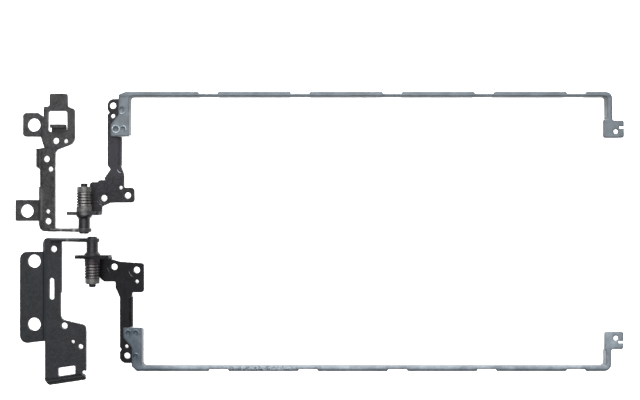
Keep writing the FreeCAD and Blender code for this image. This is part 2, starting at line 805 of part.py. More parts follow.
def right_base_lip(body):
    """Step the foot's slanted edge down to the table, along its fold."""
    section = body.newObject("Sketcher::SketchObject", f"{body.Name}_lip")
    support = next(item for item in body.Origin.OriginFeatures if item.Role == "YZ_Plane")
    section.AttachmentSupport = [(support, "")]
    section.MapMode = "FlatFace"
    slant = FreeCAD.Rotation(FreeCAD.Vector(0, 1, 0), value("right_base_lip_slant"))
    section.AttachmentOffset = FreeCAD.Placement(FreeCAD.Vector(), slant)
    section.setExpression("AttachmentOffset.Base.x", bound("-right_base_foot_end"))
    section.setExpression("AttachmentOffset.Base.z", bound("-right_base_foot_out"))
    section.setExpression("AttachmentOffset.Rotation.Angle", bound("right_base_lip_slant * 1 deg"))
    low = [
        ("bend_leg", "base_step"),
        ("0", "base_step", "bend_radius"),
        ("-base_fold_run", "0", "bend_outer"),
        ("-base_fold_run - fold_shift - right_base_lip_flat", "0"),
    ]
    high = [
        ("-base_fold_run - fold_shift - right_base_lip_flat", "bracket_sheet"),
        ("-base_fold_run - fold_shift", "bracket_sheet", "bend_radius"),
        ("-fold_shift", "base_step + bracket_sheet", "bend_outer"),
        ("bend_leg", "base_step + bracket_sheet"),
    ]
    outline(section, low + high)
    turn = "right_base_lip_slant * 1 deg"
    length = f"(right_base_foot_out - right_base_foot_near - right_base_lip_short) / cos({turn})"
    pad(body, section, length)
    reach = "(base_fold_run + fold_shift + right_base_lip_flat)"
    corner_x = f"{reach} * sin({turn}) - right_base_foot_out"
    corner_y = f"-right_base_foot_end - {reach} * cos({turn})"
    end_x, end_y = f"{corner_x} + {length} * cos({turn})", f"{corner_y} + {length} * sin({turn})"
    round_edges(body, "lip_corner", [(corner_x, corner_y, "half_arm")], "right_base_lip_corner")
    round_edges(body, "lip_end", [(end_x, end_y, "half_arm")], "right_base_lip_end_corner")


def display_ear(body, side):
    """Turn the display bracket's end up into the ear that swings on the shaft."""
    out, fold_end = f"{side}_display_plate_out", f"{side}_display_fold_end"
    root = "display_floor + bend_outer"
    run = ("plate_fold + bend_leg", "ear_face")
    fold_up(body, "ear_fold", side, run, "display_floor", f"{root} + bend_leg", out, fold_end)

    def web(sketch):
        outline(sketch, [
            ("0", "shaft_height"),
            (out, root),
            (fold_end, root),
            (fold_end, "shaft_height + ear_radius - ear_shoulder_drop", "ear_shoulder_radius"),
            ("0", "shaft_height + ear_radius"),
        ])

    def lug(sketch):
        outline(sketch, [
            ("0", "shaft_height - stop_lug_height / 2"),
            ("0", "shaft_height + stop_lug_height / 2"),
            ("-stop_lug_reach", "shaft_height + stop_lug_height / 2", "stop_lug_radius"),
            ("-stop_lug_reach", "shaft_height - stop_lug_height / 2", "stop_lug_radius"),
        ])

    upright(body, "ear", side, "ear_face", web)
    upright(body, "ear_hub", side, "ear_face", lambda s: circle(s, "0", "shaft_height", "ear_radius"))
    upright(body, "stop_lug", side, "ear_face", lug)
    sketch = sketch_on(body, "XZ_Plane", "ear_bores")
    circle(sketch, "0", "shaft_height", "ear_bore")
    for sign in "+-":
        square(sketch, f"{sign}key_tang_circle", "shaft_height", "key_tang_width / 2 + key_clearance")
    pocket(body, sketch)


def stiffening_flange(body, side):
    """Turn the long edge of the display bracket's arm down."""
    face = f"{side}_display_arm_x + {side}_display_arm_width"
    root = f"{face} - bend_outer - bend_leg"
    start, end = f"{side}_display_arm_start", f"{side}_rail_plate_start"
    section = sketch_on(body, "XZ_Plane", "flange", f"-({start})" if side == "left" else start)
    outline(section, [
        (root, "display_top"),
        (face, "display_top", "bend_outer"),
        (face, "display_top - flange_drop"),
        (f"{face} - bracket_sheet", "display_top - flange_drop"),
        (f"{face} - bracket_sheet", "display_floor", "bend_radius"),
        (root, "display_floor"),
    ])
    pad(body, section, f"{end} - {start}", back=side == "left")


def arm_corners(side):
    """Corners of the display bracket's arm, pad and lug, out along one edge and back."""
    arm = f"{side}_display_arm_x"
    edge = f"{arm} + {side}_display_arm_width"
    start, pad_start = f"{side}_display_arm_start", f"{side}_display_pad_start"
    pad_edge = f"{side}_rail_face - rail_sheet - pad_clearance"
    end, notch = f"{side}_display_end_along", f"{side}_display_notch_along"
    half, depth = f"{side}_display_notch_half", f"{side}_display_notch_depth"
    return [
        (edge, start),
        (f"{edge} - bend_outer", start),
        (f"{edge} - bend_outer", pad_start),
        (pad_edge, pad_start, "pad_corner"),
        (pad_edge, end, "pad_corner"),
        (arm, end, "lug_radius"),
        (arm, f"{notch} + {half}"),
        (f"{arm} + {depth}", notch),
        (arm, f"{notch} - {half}"),
        (arm, start),
    ]


def display_bracket(side, plate_corners):
    """Sheet that carries a rail: plate beside the shaft, folded ear, arm, pad and lug."""
    body = new_body(f"{side}_display_bracket")
    plate = sketch_on(body, "XY_Plane", "plate", "display_floor")
    corners = plate_corners[0] + arm_corners(side) + plate_corners[1]
    outline(plate, [(x, across(side, along), *rest) for x, along, *rest in corners])
    pad(body, plate, "bracket_sheet")
    display_ear(body, side)
    stiffening_flange(body, side)
    buttons = []
    for name in BUTTONS[side]:
        button = f"{side}_button_{name}"
        buttons.append((f"{button}_x", f"{button}_along", "button_radius + button_clearance"))
    drill(body, f"{side}_display", side, buttons)
    if side == "left":
        coin = sketch_on(body, "XY_Plane", "coin", "display_top")
        circle(coin, "left_display_near_screw_x", "left_display_near_screw_along", "left_display_coin_radius")
        pocket(body, coin, "left_display_coin_depth")
    place_bracket(body, side)
    return body


def left_display_corners():
    """Plate of the left display bracket, before and after its arm."""
    ear = "left_display_screw_ear_radius"
    step_far = "left_display_plate_far + left_display_plate_step"
    before = [
        ("left_display_plate_out", "plate_fold"),
        ("left_display_fold_end", "plate_fold"),
        ("left_display_fold_end", "plate_fold + left_display_fold_rise"),
        ("left_display_near_x", "left_display_near_along"),
        ("left_display_screw_ear_x", "left_display_near_along", ear),
        ("left_display_screw_ear_x", "left_display_screw_ear_along", ear),
        ("left_display_waist_x", "left_display_screw_ear_along", "bend_radius"),
        ("left_display_waist_x", "left_display_waist_along"),
    ]
    after = [
        ("left_display_arm_x + left_display_neck_tip", "left_display_neck_tip_along", "bend_radius"),
        ("left_display_neck_x", "left_display_neck_along"),
        ("left_display_neck_x", step_far),
        ("left_display_plate_step_x + left_display_plate_step", step_far),
        ("left_display_plate_step_x", "left_display_plate_far"),
        ("left_display_plate_out", "left_display_plate_far", "left_display_plate_corner"),
    ]
    return before, after


def right_display_corners():
    """Plate of the right display bracket, before and after its arm."""
    corner = "right_display_plate_corner"
    back_end = "right_display_back_far + right_display_back_step"
    before = [
        ("right_display_plate_out", "plate_fold"),
        ("right_display_fold_end", "plate_fold"),
        ("right_display_shoulder_x", "right_display_shoulder_along"),
        ("right_display_plate_x", "right_display_plate_near", corner),
        ("right_display_plate_x", "right_display_plate_far", corner),
        ("right_display_arm_x + right_display_arm_width", "right_display_plate_far", "bend_radius"),
    ]
    after = [
        ("right_display_neck_x", "right_display_neck_along"),
        ("right_display_neck_x", back_end, "bend_radius"),
        ("right_display_plate_out + right_display_back_slope", back_end),
        ("right_display_plate_out", "right_display_back_far"),
    ]
    return before, after


def side_rail(side):
    """Thin angle along the screen's side: plate, notched leg, turned-down flange and end tab."""
    body = new_body(f"{side}_side_rail")

    def own(name):
        return f"{side}_rail_{name}"

    face, inner, near = own("face"), own("inner"), own("plate_start")
    far = f"{face} + {own('length')}"
    outer = f"{inner} + rail_leg"
    tab_top = f"{own('tab_start')} + {own('tab_height')}"
    tab_in = f"{far} - {own('tab_inset')}"
    tab_out = f"{tab_in} + {own('tab_width')}"
    flange_end = f"{tab_top} + {own('flange_gap')}"
    corners = [
        (own("plate_x"), near),
        (own("plate_x"), own("plate_slope_start")),
        (own("plate_x_far"), own("plate_slope_end")),
        (own("plate_x_far"), f"{outer} - {own('chamfer_drop')}"),
        (f"{own('plate_x_far')} + {own('chamfer')}", outer),
        (f"{far} + rail_leg", outer, "rail_outer_corner"),
        (f"{far} + rail_leg", tab_top, "tab_corner"),
        (tab_out, tab_top, "tab_corner"),
        (tab_out, own("tab_start"), "tab_corner"),
        (tab_in, own("tab_start"), "tab_corner"),
        (tab_in, tab_top),
        (far, flange_end),
        (far, inner, "rail_inner_corner"),
        (face, inner, "rail_inner_corner"),
        (face, near),
    ]
    sheet_plan = sketch_on(body, "XY_Plane", "sheet", "rail_depth - rail_sheet")
    outline(sheet_plan, [(x, across(side, along), *rest) for x, along, *rest in corners])
    pad(body, sheet_plan, "rail_sheet")
    back_corner = "rail_inner_corner + rail_sheet"
    flange_start = f"{near} + rail_flange_setback"
    flange = [
        (face, flange_start),
        (face, inner, "rail_inner_corner"),
        (far, inner, "rail_inner_corner"),
        (far, flange_end),
        (f"{far} + rail_sheet", flange_end),
        (f"{far} + rail_sheet", f"{inner} + rail_sheet", back_corner),
        (f"{face} - rail_sheet", f"{inner} + rail_sheet", back_corner),
        (f"{face} - rail_sheet", flange_start),
    ]
    flange_plan = sketch_on(body, "XY_Plane", "flange")
    outline(flange_plan, [(x, across(side, along), *rest) for x, along, *rest in flange])
    pad(body, flange_plan, "rail_depth")
    round_rail_bend(body, side, face, far, inner, near, flange_end)
    rail_buttons(body, side)
    rail_tab_cuts(body, side, tab_in, tab_out, tab_top, own)
    rail_notches(body, side, f"{face} + {own('first_notch')}", outer, own("notch_pitch"))
    place_bracket(body, side)
    return body


def round_rail_bend(body, side, face, far, inner, near, flange_end):
    """Round the edge where the rail's sheet turns down into its flange, corners too."""
    corner_in = "rail_inner_corner * (1 - sqrt(0.5))"
    on_edge = [
        (face, f"({near} + {inner}) / 2"),
        (f"{face} + {corner_in}", f"{inner} - {corner_in}"),
        (f"({face} + {far}) / 2", inner),
        (f"{far} - {corner_in}", f"{inner} - {corner_in}"),
        (far, f"({flange_end} + {inner}) / 2"),
    ]
    round_edges(body, "bend", [(x, across(side, along), "rail_depth") for x, along in on_edge], "rail_bend")


def rail_buttons(body, side):
    """Press the clinched buttons into the display bracket, each with its punch dimple."""
    under = sketch_on(body, "XY_Plane", "buttons", "rail_depth - rail_sheet")
    dimples = sketch_on(body, "XY_Plane", "dimples", "rail_depth")
    for name in BUTTONS[side]:
        x, along = f"{side}_button_{name}_x", across(side, f"{side}_button_{name}_along")
        circle(under, x, along, "button_radius")
        circle(dimples, x, along, "button_dimple")
    pad(body, under, "button_reach", back=True)
    pocket(body, dimples, "button_dimple_depth")


def rail_tab_cuts(body, side, tab_in, tab_out, tab_top, own):
    """Screw hole and open slot of the rail's end tab."""
    cuts = sketch_on(body, "XY_Plane", "tab_cuts")
    hole_along = f"{own('tab_start')} + {own('tab_hole_along')}"
    circle(cuts, f"{tab_in} + {own('tab_hole_x')}", across(side, hole_along), "tab_hole / 2")
    slot_in = f"{tab_out} - tab_slot_depth"
    slot_out = f"{tab_out} + {CUT_MARGIN}"
    low, high = f"{tab_top} - tab_slot_drop - tab_slot_width", f"{tab_top} - tab_slot_drop"
    outline(cuts, [
        (slot_in, across(side, low)),
        (slot_out, across(side, low)),
        (slot_out, across(side, high)),
        (slot_in, across(side, high)),
    ])
    pocket(body, cuts)


def rail_notches(body, side, first, outer, pitch):
    """Nick the leg's outer edge and the flange's lower edge at even stations."""
    mouth_low, mouth_high = f"{first} - rail_notch_mouth / 2", f"{first} + rail_notch_mouth / 2"
    floor_low, floor_high = f"{first} - rail_notch_floor / 2", f"{first} + rail_notch_floor / 2"
    leg = sketch_on(body, "XY_Plane", "leg_notch")
    past = f"{outer} + {CUT_MARGIN}"
    inside = f"{outer} - rail_notch_depth"
    corners = [
        (mouth_low, past),
        (mouth_high, past),
        (mouth_high, outer),
        (floor_high, inside),
        (floor_low, inside),
        (mouth_low, outer),
    ]
    outline(leg, [(x, across(side, along)) for x, along in corners])
    leg_cut = pocket(body, leg)
    flange = sketch_on(body, "XZ_Plane", "flange_notch")
    outline(flange, [
        (mouth_low, f"-{CUT_MARGIN}"),
        (mouth_high, f"-{CUT_MARGIN}"),
        (mouth_high, "0"),
        (floor_high, "flange_notch_depth"),
        (floor_low, "flange_notch_depth"),
        (mouth_low, "0"),
    ])
    flange_cut = pocket(body, flange)
    pattern = body.newObject("PartDesign::LinearPattern", f"{body.Name}_notches")
    pattern.Originals = [leg_cut, flange_cut]
    pattern.Direction = (leg, ["H_Axis"])
    pattern.setExpression("Length", bound(f"{pitch} * (rail_notches - 1)"))
    pattern.setExpression("Occurrences", bound("rail_notches"))
    body.Tip = pattern
    document.recompute()


def hinge_shaft(side):
    """Turned pin: riveted head, tenon, barrel, coned collar, flatted seat and threaded end."""
    body = new_body(f"{side}_hinge_shaft")
    head, cone_start = "-half_arm - rivet_head_height", "half_arm + barrel_length"
    profile = sketch_on(body, "XZ_Plane", "profile")
    outline(profile, [
        ("0", head),
        ("rivet_head_radius - rivet_head_chamfer", head),
        ("rivet_head_radius", f"{head} + rivet_head_chamfer"),
        ("rivet_head_radius", "-half_arm"),
        ("tenon_radius", "-half_arm"),
        ("tenon_radius", "half_arm"),
        ("barrel_radius", "half_arm"),
        ("barrel_radius", cone_start),
        ("collar_radius", f"{cone_start} + collar_cone"),
        ("collar_radius", "ear_face"),
        ("seat_radius", "ear_face"),
        ("seat_radius", "nut_face"),
        ("thread_radius", "nut_face"),
        ("thread_radius", "shaft_end - thread_chamfer"),
        ("thread_radius - thread_chamfer", "shaft_end"),
        ("0", "shaft_end"),
    ])
    revolve(body, profile)
    flats = sketch_on(body, "XY_Plane", "flats", "ear_face")
    for sign in "+-":
        outline(flats, [
            (f"{sign}seat_flats / 2", "-seat_radius"),
            (f"{sign}(seat_radius + {CUT_MARGIN})", "-seat_radius"),
            (f"{sign}(seat_radius + {CUT_MARGIN})", "seat_radius"),
            (f"{sign}seat_flats / 2", "seat_radius"),
        ])
    pocket(body, flats, "nut_face - ear_face", back=True)
    place_on_shaft(body, side, "0")
    return body


def friction_washer(side):
    """Thick washer that two pressed tangs key to the ear, so that it rubs on the keyed washer."""
    body = new_body(f"{side}_friction_washer")
    ring = sketch_on(body, "XY_Plane", "ring")
    circle(ring, "0", "0", "washer_radius")
    circle(ring, "0", "0", "ear_bore")
    pad(body, ring, "friction_washer_thickness")
    tangs = sketch_on(body, "XY_Plane", "tangs")
    for sign in "+-":
        square(tangs, f"{sign}key_tang_circle", "0", "key_tang_width / 2")
    pad(body, tangs, "key_tang_height", back=True)
    place_on_shaft(body, side, "ear_back")
    return body


def cylinder(name, radius, height, start="0"):
    """A plain cylinder from its own start up its Z axis."""
    solid = document.addObject("Part::Cylinder", name)
    solid.setExpression("Radius", bound(radius))
    solid.setExpression("Height", bound(height))
    solid.setExpression("Placement.Base.z", bound(start))
    return solid


def cut(name, base, tool):
    solid = document.addObject("Part::Cut", name)
    solid.Base = base
    solid.Tool = tool
    solid.Label = name
    return solid


def keyed_washer(side):
    """Flat washer whose double-D bore holds it to the shaft's flats."""
    name = f"{side}_keyed_washer"
    ring = cylinder(f"{name}_ring", "washer_radius", "keyed_washer_thickness")
    round_bore = cylinder(f"{name}_round", "seat_radius + key_clearance", "keyed_washer_thickness")
    flats = document.addObject("Part::Box", f"{name}_flats")
    flats.setExpression("Length", bound("seat_flats + 2 * key_clearance"))
    flats.setExpression("Width", bound("4 * seat_radius"))
    flats.setExpression("Height", bound("keyed_washer_thickness"))
    flats.setExpression("Placement.Base.x", bound("-seat_flats / 2 - key_clearance"))
    flats.setExpression("Placement.Base.y", bound("-2 * seat_radius"))
    key = document.addObject("Part::Common", f"{name}_key")
    key.Base = round_bore
    key.Tool = flats
    washer = cut(name, ring, key)
    place_on_shaft(washer, side, "keyed_face")
    return washer


def disc_springs(side):
    """Dished washers in opposed pairs, rim to rim and bore to bore."""
    springs = []
    for index in range(2 * int(value("spring_pairs"))):
        body = new_body(f"{side}_disc_spring_{index + 1}")
        inner, outer = ("0", "spring_dish") if index % 2 == 0 else ("spring_dish", "0")
        bore_radius = "seat_radius + spring_clearance"
        profile = sketch_on(body, "XZ_Plane", "profile")
        outline(profile, [
            (bore_radius, inner),
            ("spring_radius", outer),
            ("spring_radius", f"{outer} + spring_sheet"),
            (bore_radius, f"{inner} + spring_sheet"),
        ])
        revolve(body, profile)
        place_on_shaft(body, side, f"spring_face + {index} * spring_height")
        springs.append(body)
    return springs


def lock_nut(side):
    """Hexagon nut with its outer corners chamfered."""
    name = f"{side}_lock_nut"
    hexagon = document.addObject("Part::Prism", f"{name}_hexagon")
    hexagon.Polygon = 6
    hexagon.setExpression("Circumradius", bound("nut_flats / 2 / cos(30 deg)"))
    hexagon.setExpression("Height", bound("nut_height"))
    chamfer = document.addObject("Part::Cone", f"{name}_chamfer")
    chamfer.setExpression("Radius2", bound("nut_flats / 2"))
    chamfer.setExpression("Radius1", bound("nut_flats / 2 + nut_height / tan(nut_chamfer_angle * 1 deg)"))
    chamfer.setExpression("Height", bound("nut_height"))
    shape = document.addObject("Part::Common", f"{name}_blank")
    shape.Base = hexagon
    shape.Tool = chamfer
    nut = cut(name, shape, cylinder(f"{name}_bore", "thread_radius + thread_clearance", "nut_height"))
    place_on_shaft(nut, side, "nut_face")
    return nut


def build():
    """Make every piece of both hinges."""
    pieces = [left_base_bracket(), right_base_bracket()]
    pieces.append(display_bracket("left", left_display_corners()))
    pieces.append(display_bracket("right", right_display_corners()))
    for side in SIDES:
        pieces += [side_rail(side), hinge_shaft(side), friction_washer(side), keyed_washer(side)]
        pieces += disc_springs(side)
        pieces.append(lock_nut(side))
    return pieces


def check(pieces):
    """Stop if any object of the document failed or any piece isn't a sound solid."""
    document.recompute()
    failed = [item.Name for item in document.Objects if {"Invalid", "Error"} & set(item.State)]
    if failed:
        raise RuntimeError(f"failed: {failed}")
    for piece in pieces:
        if piece.Shape.isNull() or not piece.Shape.isValid() or len(piece.Shape.Solids) != 1:
            raise RuntimeError(f"{piece.Label} is not one sound solid")


add_hole_sizes()
document = FreeCAD.newDocument("LaptopHinges")
sheet = fill_sheet(document)
pieces = build()
check(pieces)
os.makedirs("parts", exist_ok=True)
for piece in pieces:
    piece.Shape.exportStep(f"parts/{piece.Label}.step")
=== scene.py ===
import json
import math

import bpy
import numpy as np
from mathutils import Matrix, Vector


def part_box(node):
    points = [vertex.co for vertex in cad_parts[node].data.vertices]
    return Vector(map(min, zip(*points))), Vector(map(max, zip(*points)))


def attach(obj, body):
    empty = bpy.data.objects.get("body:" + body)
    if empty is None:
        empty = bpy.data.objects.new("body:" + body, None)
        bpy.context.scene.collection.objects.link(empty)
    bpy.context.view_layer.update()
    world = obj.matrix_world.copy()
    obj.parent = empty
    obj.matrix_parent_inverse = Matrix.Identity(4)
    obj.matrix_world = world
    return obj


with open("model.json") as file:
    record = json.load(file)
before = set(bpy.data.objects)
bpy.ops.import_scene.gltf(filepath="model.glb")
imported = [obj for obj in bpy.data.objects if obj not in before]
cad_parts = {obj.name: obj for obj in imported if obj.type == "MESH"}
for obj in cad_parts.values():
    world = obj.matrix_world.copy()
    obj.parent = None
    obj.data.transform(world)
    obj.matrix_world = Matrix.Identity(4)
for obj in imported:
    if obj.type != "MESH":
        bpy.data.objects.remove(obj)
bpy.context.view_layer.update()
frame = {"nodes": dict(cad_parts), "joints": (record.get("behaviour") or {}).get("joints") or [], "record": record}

bl_info = {
    "name": "Laptop hinge pair finishes",
    "version": (1, 0, 0),
    "blender": (4, 5, 0),
    "location": "View3D > Sidebar > Hinges",
    "description": "Metal finishes, screw threads and a studio for a pair of laptop hinges",
    "category": "Object",
}

MM = 0.001
SIDES = ("left", "right")
JOINTS = {joint["child"]: joint for joint in frame["joints"]}
MOUNTS = {mount["name"]: mount for mount in frame["record"]["mounts"]}

# Thread ends in metres: the core's radius, and the chamfer at the tip that stays plain
THREAD_CORE = 1.48 * MM
THREAD_CHAMFER = 0.3 * MM
# Half of a thread ridge's foot as a share of the pitch, and the share of its size left where it runs out
THREAD_FOOT = 0.4
THREAD_RUN_OUT = 0.02
THREAD_STEPS = 36

# Sleeve of painted shade in a stack's gaps, in metres: how far it stays under the springs' rims and inside their
# ends
GAP_SHADE_DEPTH = 0.5 * MM
GAP_SHADE_INSET = 0.05 * MM
GAP_SHADE_STEPS = 64
# Painted shade on the outer flank of springs and of nuts: the share of the radius at which it begins, its
# fade in millimetres, and how far it darkens the steel
SPRING_FLANK_SHADE = (0.6, 0.4, -0.85)
NUT_FLANK_SHADE = (0.2, 0.6, -0.4)
# Share of a spring's radius at which the painted shade of its gaps gives way to its rim
RIM_START = 0.82

# Press marks on each piece: X, Y and radius in millimetres, and the start and end of the arc in degrees
PRESS_MARKS = {
    "left_side_rail": {
        "near_out_clinch": (-90.05, 49.0, 1.6, 0, 360),
        "near_in_clinch": (-86.75, 49.1, 1.25, -60, 150),
        "far_clinch": (-87.45, 57.8, 1.9, 236, 330),
    },
    "right_side_rail": {
        "near_out_clinch": (-84.55, -41.7, 1.35, 20, 200),
        "near_in_clinch": (-81.15, -41.7, 1.35, -40, 160),
        "far_clinch": (-81.15, -51.9, 1.2, -30, 140),
    },
    "left_display_bracket": {
        "near_screw_rub": (-95.45, 18.2, 3.25, 200, 262),
        # A painted highlight: a raised arc in the clinch rings' pale zinc at the end of the arm's bend
        "arm_bend": (-87.6, 31.5, 2.0, 190, 262),
    },
    "right_display_bracket": {
        "near_screw_rub": (-90.85, -12.4, 3.0, 185, 235),
        "corner_screw_rub": (-80.85, -13.8, 3.4, 187, 245),
    },
}
FULL_TURN = 360
# Size of an arc's ends as a share of its middle
MARK_TIP = 0.05
RING_STEPS = 64
SECTION_STEPS = 12

# Sizes of the finishes' patterns and depths of their bumps, in metres. Turning rings and rolling lines are
# drawn coarser than the real ones, so that they show.
COAT_CLOUD = 4.0 * MM
GRIT_DEPTH = 0.1 * MM
TURNING_RING = 0.237 * MM
RING_DEPTH = 0.02 * MM
OXIDE_SMEAR = 1.2 * MM
ROLLING_LINE = 0.4 * MM
LINE_DEPTH = 0.03 * MM
HAMMERED_GRAIN = 0.6 * MM
SPRING_OIL = 1.6 * MM
STEEL_FILM = 1.2 * MM
FILM_DEPTH = 0.02 * MM
# Scale of the rolling lines' noise in X, Y and Z: slow along a rail, which draws it out into lines
DRAWN_OUT = (0.08, 1.0, 1.0)
# Length of one ring of the wave texture at a scale of 1
WAVE_LENGTH = math.pi / 10
BEVEL_SAMPLES = 6
# Places of each finish's colours along the values of its pattern, from dark to pale
COAT_STOPS = (0.55, 0.95)
OXIDE_STOPS = (0.4, 0.7)
ZINC_STOPS = (0.0, 0.36, 0.66)
SPRING_STOPS = (0.1, 0.95)
METAL_STOPS = (0.35, 0.65)
NUT_STOPS = (0.0, 0.35, 0.65)
# Values of the noise at the darkest and the palest specks of the hammered grain
SPECK_DARK, SPECK_PALE = 0.36, 0.62
# Roughness of the zinc and of the springs, from their smoothest places to their roughest
ZINC_SMOOTH, ZINC_ROUGH = 0.42, 0.58
SPRING_SMOOTH, SPRING_ROUGH = 0.3, 0.45
# How metallic smooth metal is, bare and on a nut's flank of painted shade
BARE_METAL, SHADED_FLANK_METAL = 0.8, 0.1

# Coat of each bracket: grit drawn coarser than the real grain, so that it shows, its bump, and the sheen
COATS = {
    "left_base": {"grit": 0.9 * MM, "bump": 0.5, "sheen": 0.1},
    "right_base": {"grit": 1.0 * MM, "bump": 0.3, "sheen": 0.12},
    "left_display": {"grit": 0.9 * MM, "bump": 0.4, "sheen": 0.08},
    "right_display": {"grit": 1.1 * MM, "bump": 0.7, "sheen": 0.06},
}
# Share of the broad clouds in a coat's specks, and of bare steel on its worn edges
CLOUD_SHARE = 0.5
EDGE_SHARE = 0.6
# Cosine of the lean where an edge begins to be worn and is worn most, and the clouds' values for the same
EDGE_BEGINS, EDGE_WORN = 0.98, 0.8
CLOUD_BEGINS, CLOUD_WORN = 0.45, 0.7
# How far a coat's roughness falls and rises over its grit
SMOOTHER, ROUGHER = 0.08, 0.12
# Paler stretch of a coat: its axis, its start, end and fade in millimetres, and how far it pales there
PALE_AND_HIGHLIGHT_STRETCHES = {
    "left_base": ("Y", (42.0, 70.0, 8.0), 0.12),
    # A painted highlight along the upper bend of the right base's fold
    "right_base": ("X", (-122.6, -121.4, 0.5), 0.5),
    "left_display": ("Y", (28.0, 48.0, 6.0), 0.22),
}
# Scuffs to bare steel and painted highlights: two corners of a box and its fade in millimetres, and the steel's
# share
SCUFFS_AND_HIGHLIGHTS = {
    "left_base": {
        # Painted highlight along the fold
        "fold": ((-124.1, 8.5, 0.0), (-123.1, 22.5, 5.0), 0.4, 0.11),
        # Scuffs to bare steel on the arm
        "inner_arm_spot": ((-107.8, 3.0, 8.9), (-106.6, 5.2, 12.0), 0.4, 0.36),
        "outer_arm_spot": ((-114.2, 3.0, 6.0), (-113.2, 5.2, 9.0), 0.4, 0.2),
        # Painted highlight along the arm's top edge
        "arm": ((-119.0, 4.2, 4.5), (-104.8, 4.65, 13.0), 0.2, 0.22),
    },
    "right_base": {
        # Scuff to bare steel on the arm
        "arm_spot": ((-111.2, -1.4, 7.6), (-110.2, 0.8, 10.5), 0.4, 0.2),
        # Painted highlight along the arm's top edge
        "arm": ((-119.0, -0.2, 4.5), (-104.8, 0.25, 13.0), 0.2, 0.14),
    },
    "left_display": {
        # Painted highlight on the ear's top edge
        "ear": ((-103.2, 10.2, 10.8), (-101.4, 12.6, 14.0), 0.9, 0.24),
        # Painted highlight on the stop lug's upper half
        "stop_lug": ((-111.0, 11.5, 4.0), (-106.0, 11.95, 13.0), 0.2, 0.14),
    },
    "right_display": {
        # Painted highlight on the plate's edge by the ear's fold
        "ear_fold": ((-97.0, -8.6, 2.0), (-93.0, -6.4, 6.0), 0.4, 0.3),
        # Painted highlight on the stop lug's upper half
        "stop_lug": ((-111.0, -7.5, 4.0), (-106.0, -7.05, 13.0), 0.2, 0.14),
    },
}

# Plating of each rail in millimetres: the darker end along X, from its darkest place to its full tone, then
# start, end and fade of the painted shade band along Y, on the rail's bend, and of the hammered stretch along
# X. The shares say how far the end and the shade band darken.
RAIL_PLATING = {
    "left": {
        "dull_end": (-92.0, -80.0), "end_share": -0.08,
        "dark_band": (63.0, 63.9, 0.3), "band_share": -0.25,
    },
    "right": {
        "dull_end": (-90.0, -62.0), "end_share": -0.6,
        "dark_band": (-59.2, -57.6, 0.15), "band_share": -0.22,
        "hammered": (-38.0, -12.0, 8.0),
    },
}

# Studio in metres: how far the table reaches, and the place in Y and Z and the sides of each lamp
TABLE_REACH = 4.0
KEY_PLACE = (1.1, 0.8)
KEY_SIZE = (0.8, 0.8)
OVERHEAD_PLACE = (-0.02, 0.6)
OVERHEAD_SIZE = (0.7, 0.1)
# Direction of the brightest wall, and how far along it the walls reach their full and their least light
BRIGHT_WALL = (0.35, 0.9, 0.1)
WALL_BLEND = 0.8
# Camera's sensor in millimetres, and the nearest and farthest place it sees in metres
SENSOR_WIDTH = 36.0
CLIP_NEAR, CLIP_FAR = 0.01, 20.0


def linear(hex_colour):
    """Turn an sRGB hex value such as #8a969d into linear red, green, blue and full alpha."""
    parts = np.array([int(hex_colour[start:start + 2], 16) for start in (1, 3, 5)]) / 255
    low, high = parts / 12.92, ((parts + 0.055) / 1.055) ** 2.4
    return (*np.where(parts <= 0.04045, low, high).tolist(), 1.0)


def add_node(tree, kind, settings=None, values=None, links=None, stops=None):
    """Add a shader node with its settings, input values, links from outputs and a ramp's hex colours.

    Inputs go by name, or by number where several have one name.
    """
    node = tree.nodes.new(kind)
    for name, setting in (settings or {}).items():
        setattr(node, name, setting)
    for key, value in (values or {}).items():
        node.inputs[key].default_value = value
    for key, output in (links or {}).items():
        tree.links.new(output, node.inputs[key])
    if stops:
        elements = node.color_ramp.elements
        while len(elements) < len(stops):
            elements.new(0.5)
        for element, (position, colour) in zip(elements, stops):
            element.position = position
            element.color = linear(colour)
    return node


def new_finish(name):
    """Start an empty material and return it with its node tree."""
    material = bpy.data.materials.new(name)
    material.use_nodes = True
    material.node_tree.nodes.clear()
    return material, material.node_tree


def dress(names, material):
    """Give CAD nodes a finish in each of their material slots."""
    for name in names:
        for slot in frame["nodes"][name].material_slots:
            slot.material = material


def springs_of(side):
    """Names of a hinge's disc springs."""
    return [name for name in frame["nodes"] if name.startswith(f"{side}_disc_spring_")]


def shaft_axis(side):
    """Place in X and Z of the line through a hinge's shaft."""
    axis_x, _, axis_z = JOINTS[f"{side}_display"]["pos_m"]
    return axis_x, axis_z


def plate_top(side, kind):
    """Height of the top face of a rail's plate, or of the display bracket's plate at its screws."""
    if kind == "side_rail":
        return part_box(f"{side}_side_rail")[1].z
    return MOUNTS[f"{side}_display_screws"]["pos_m"][2]


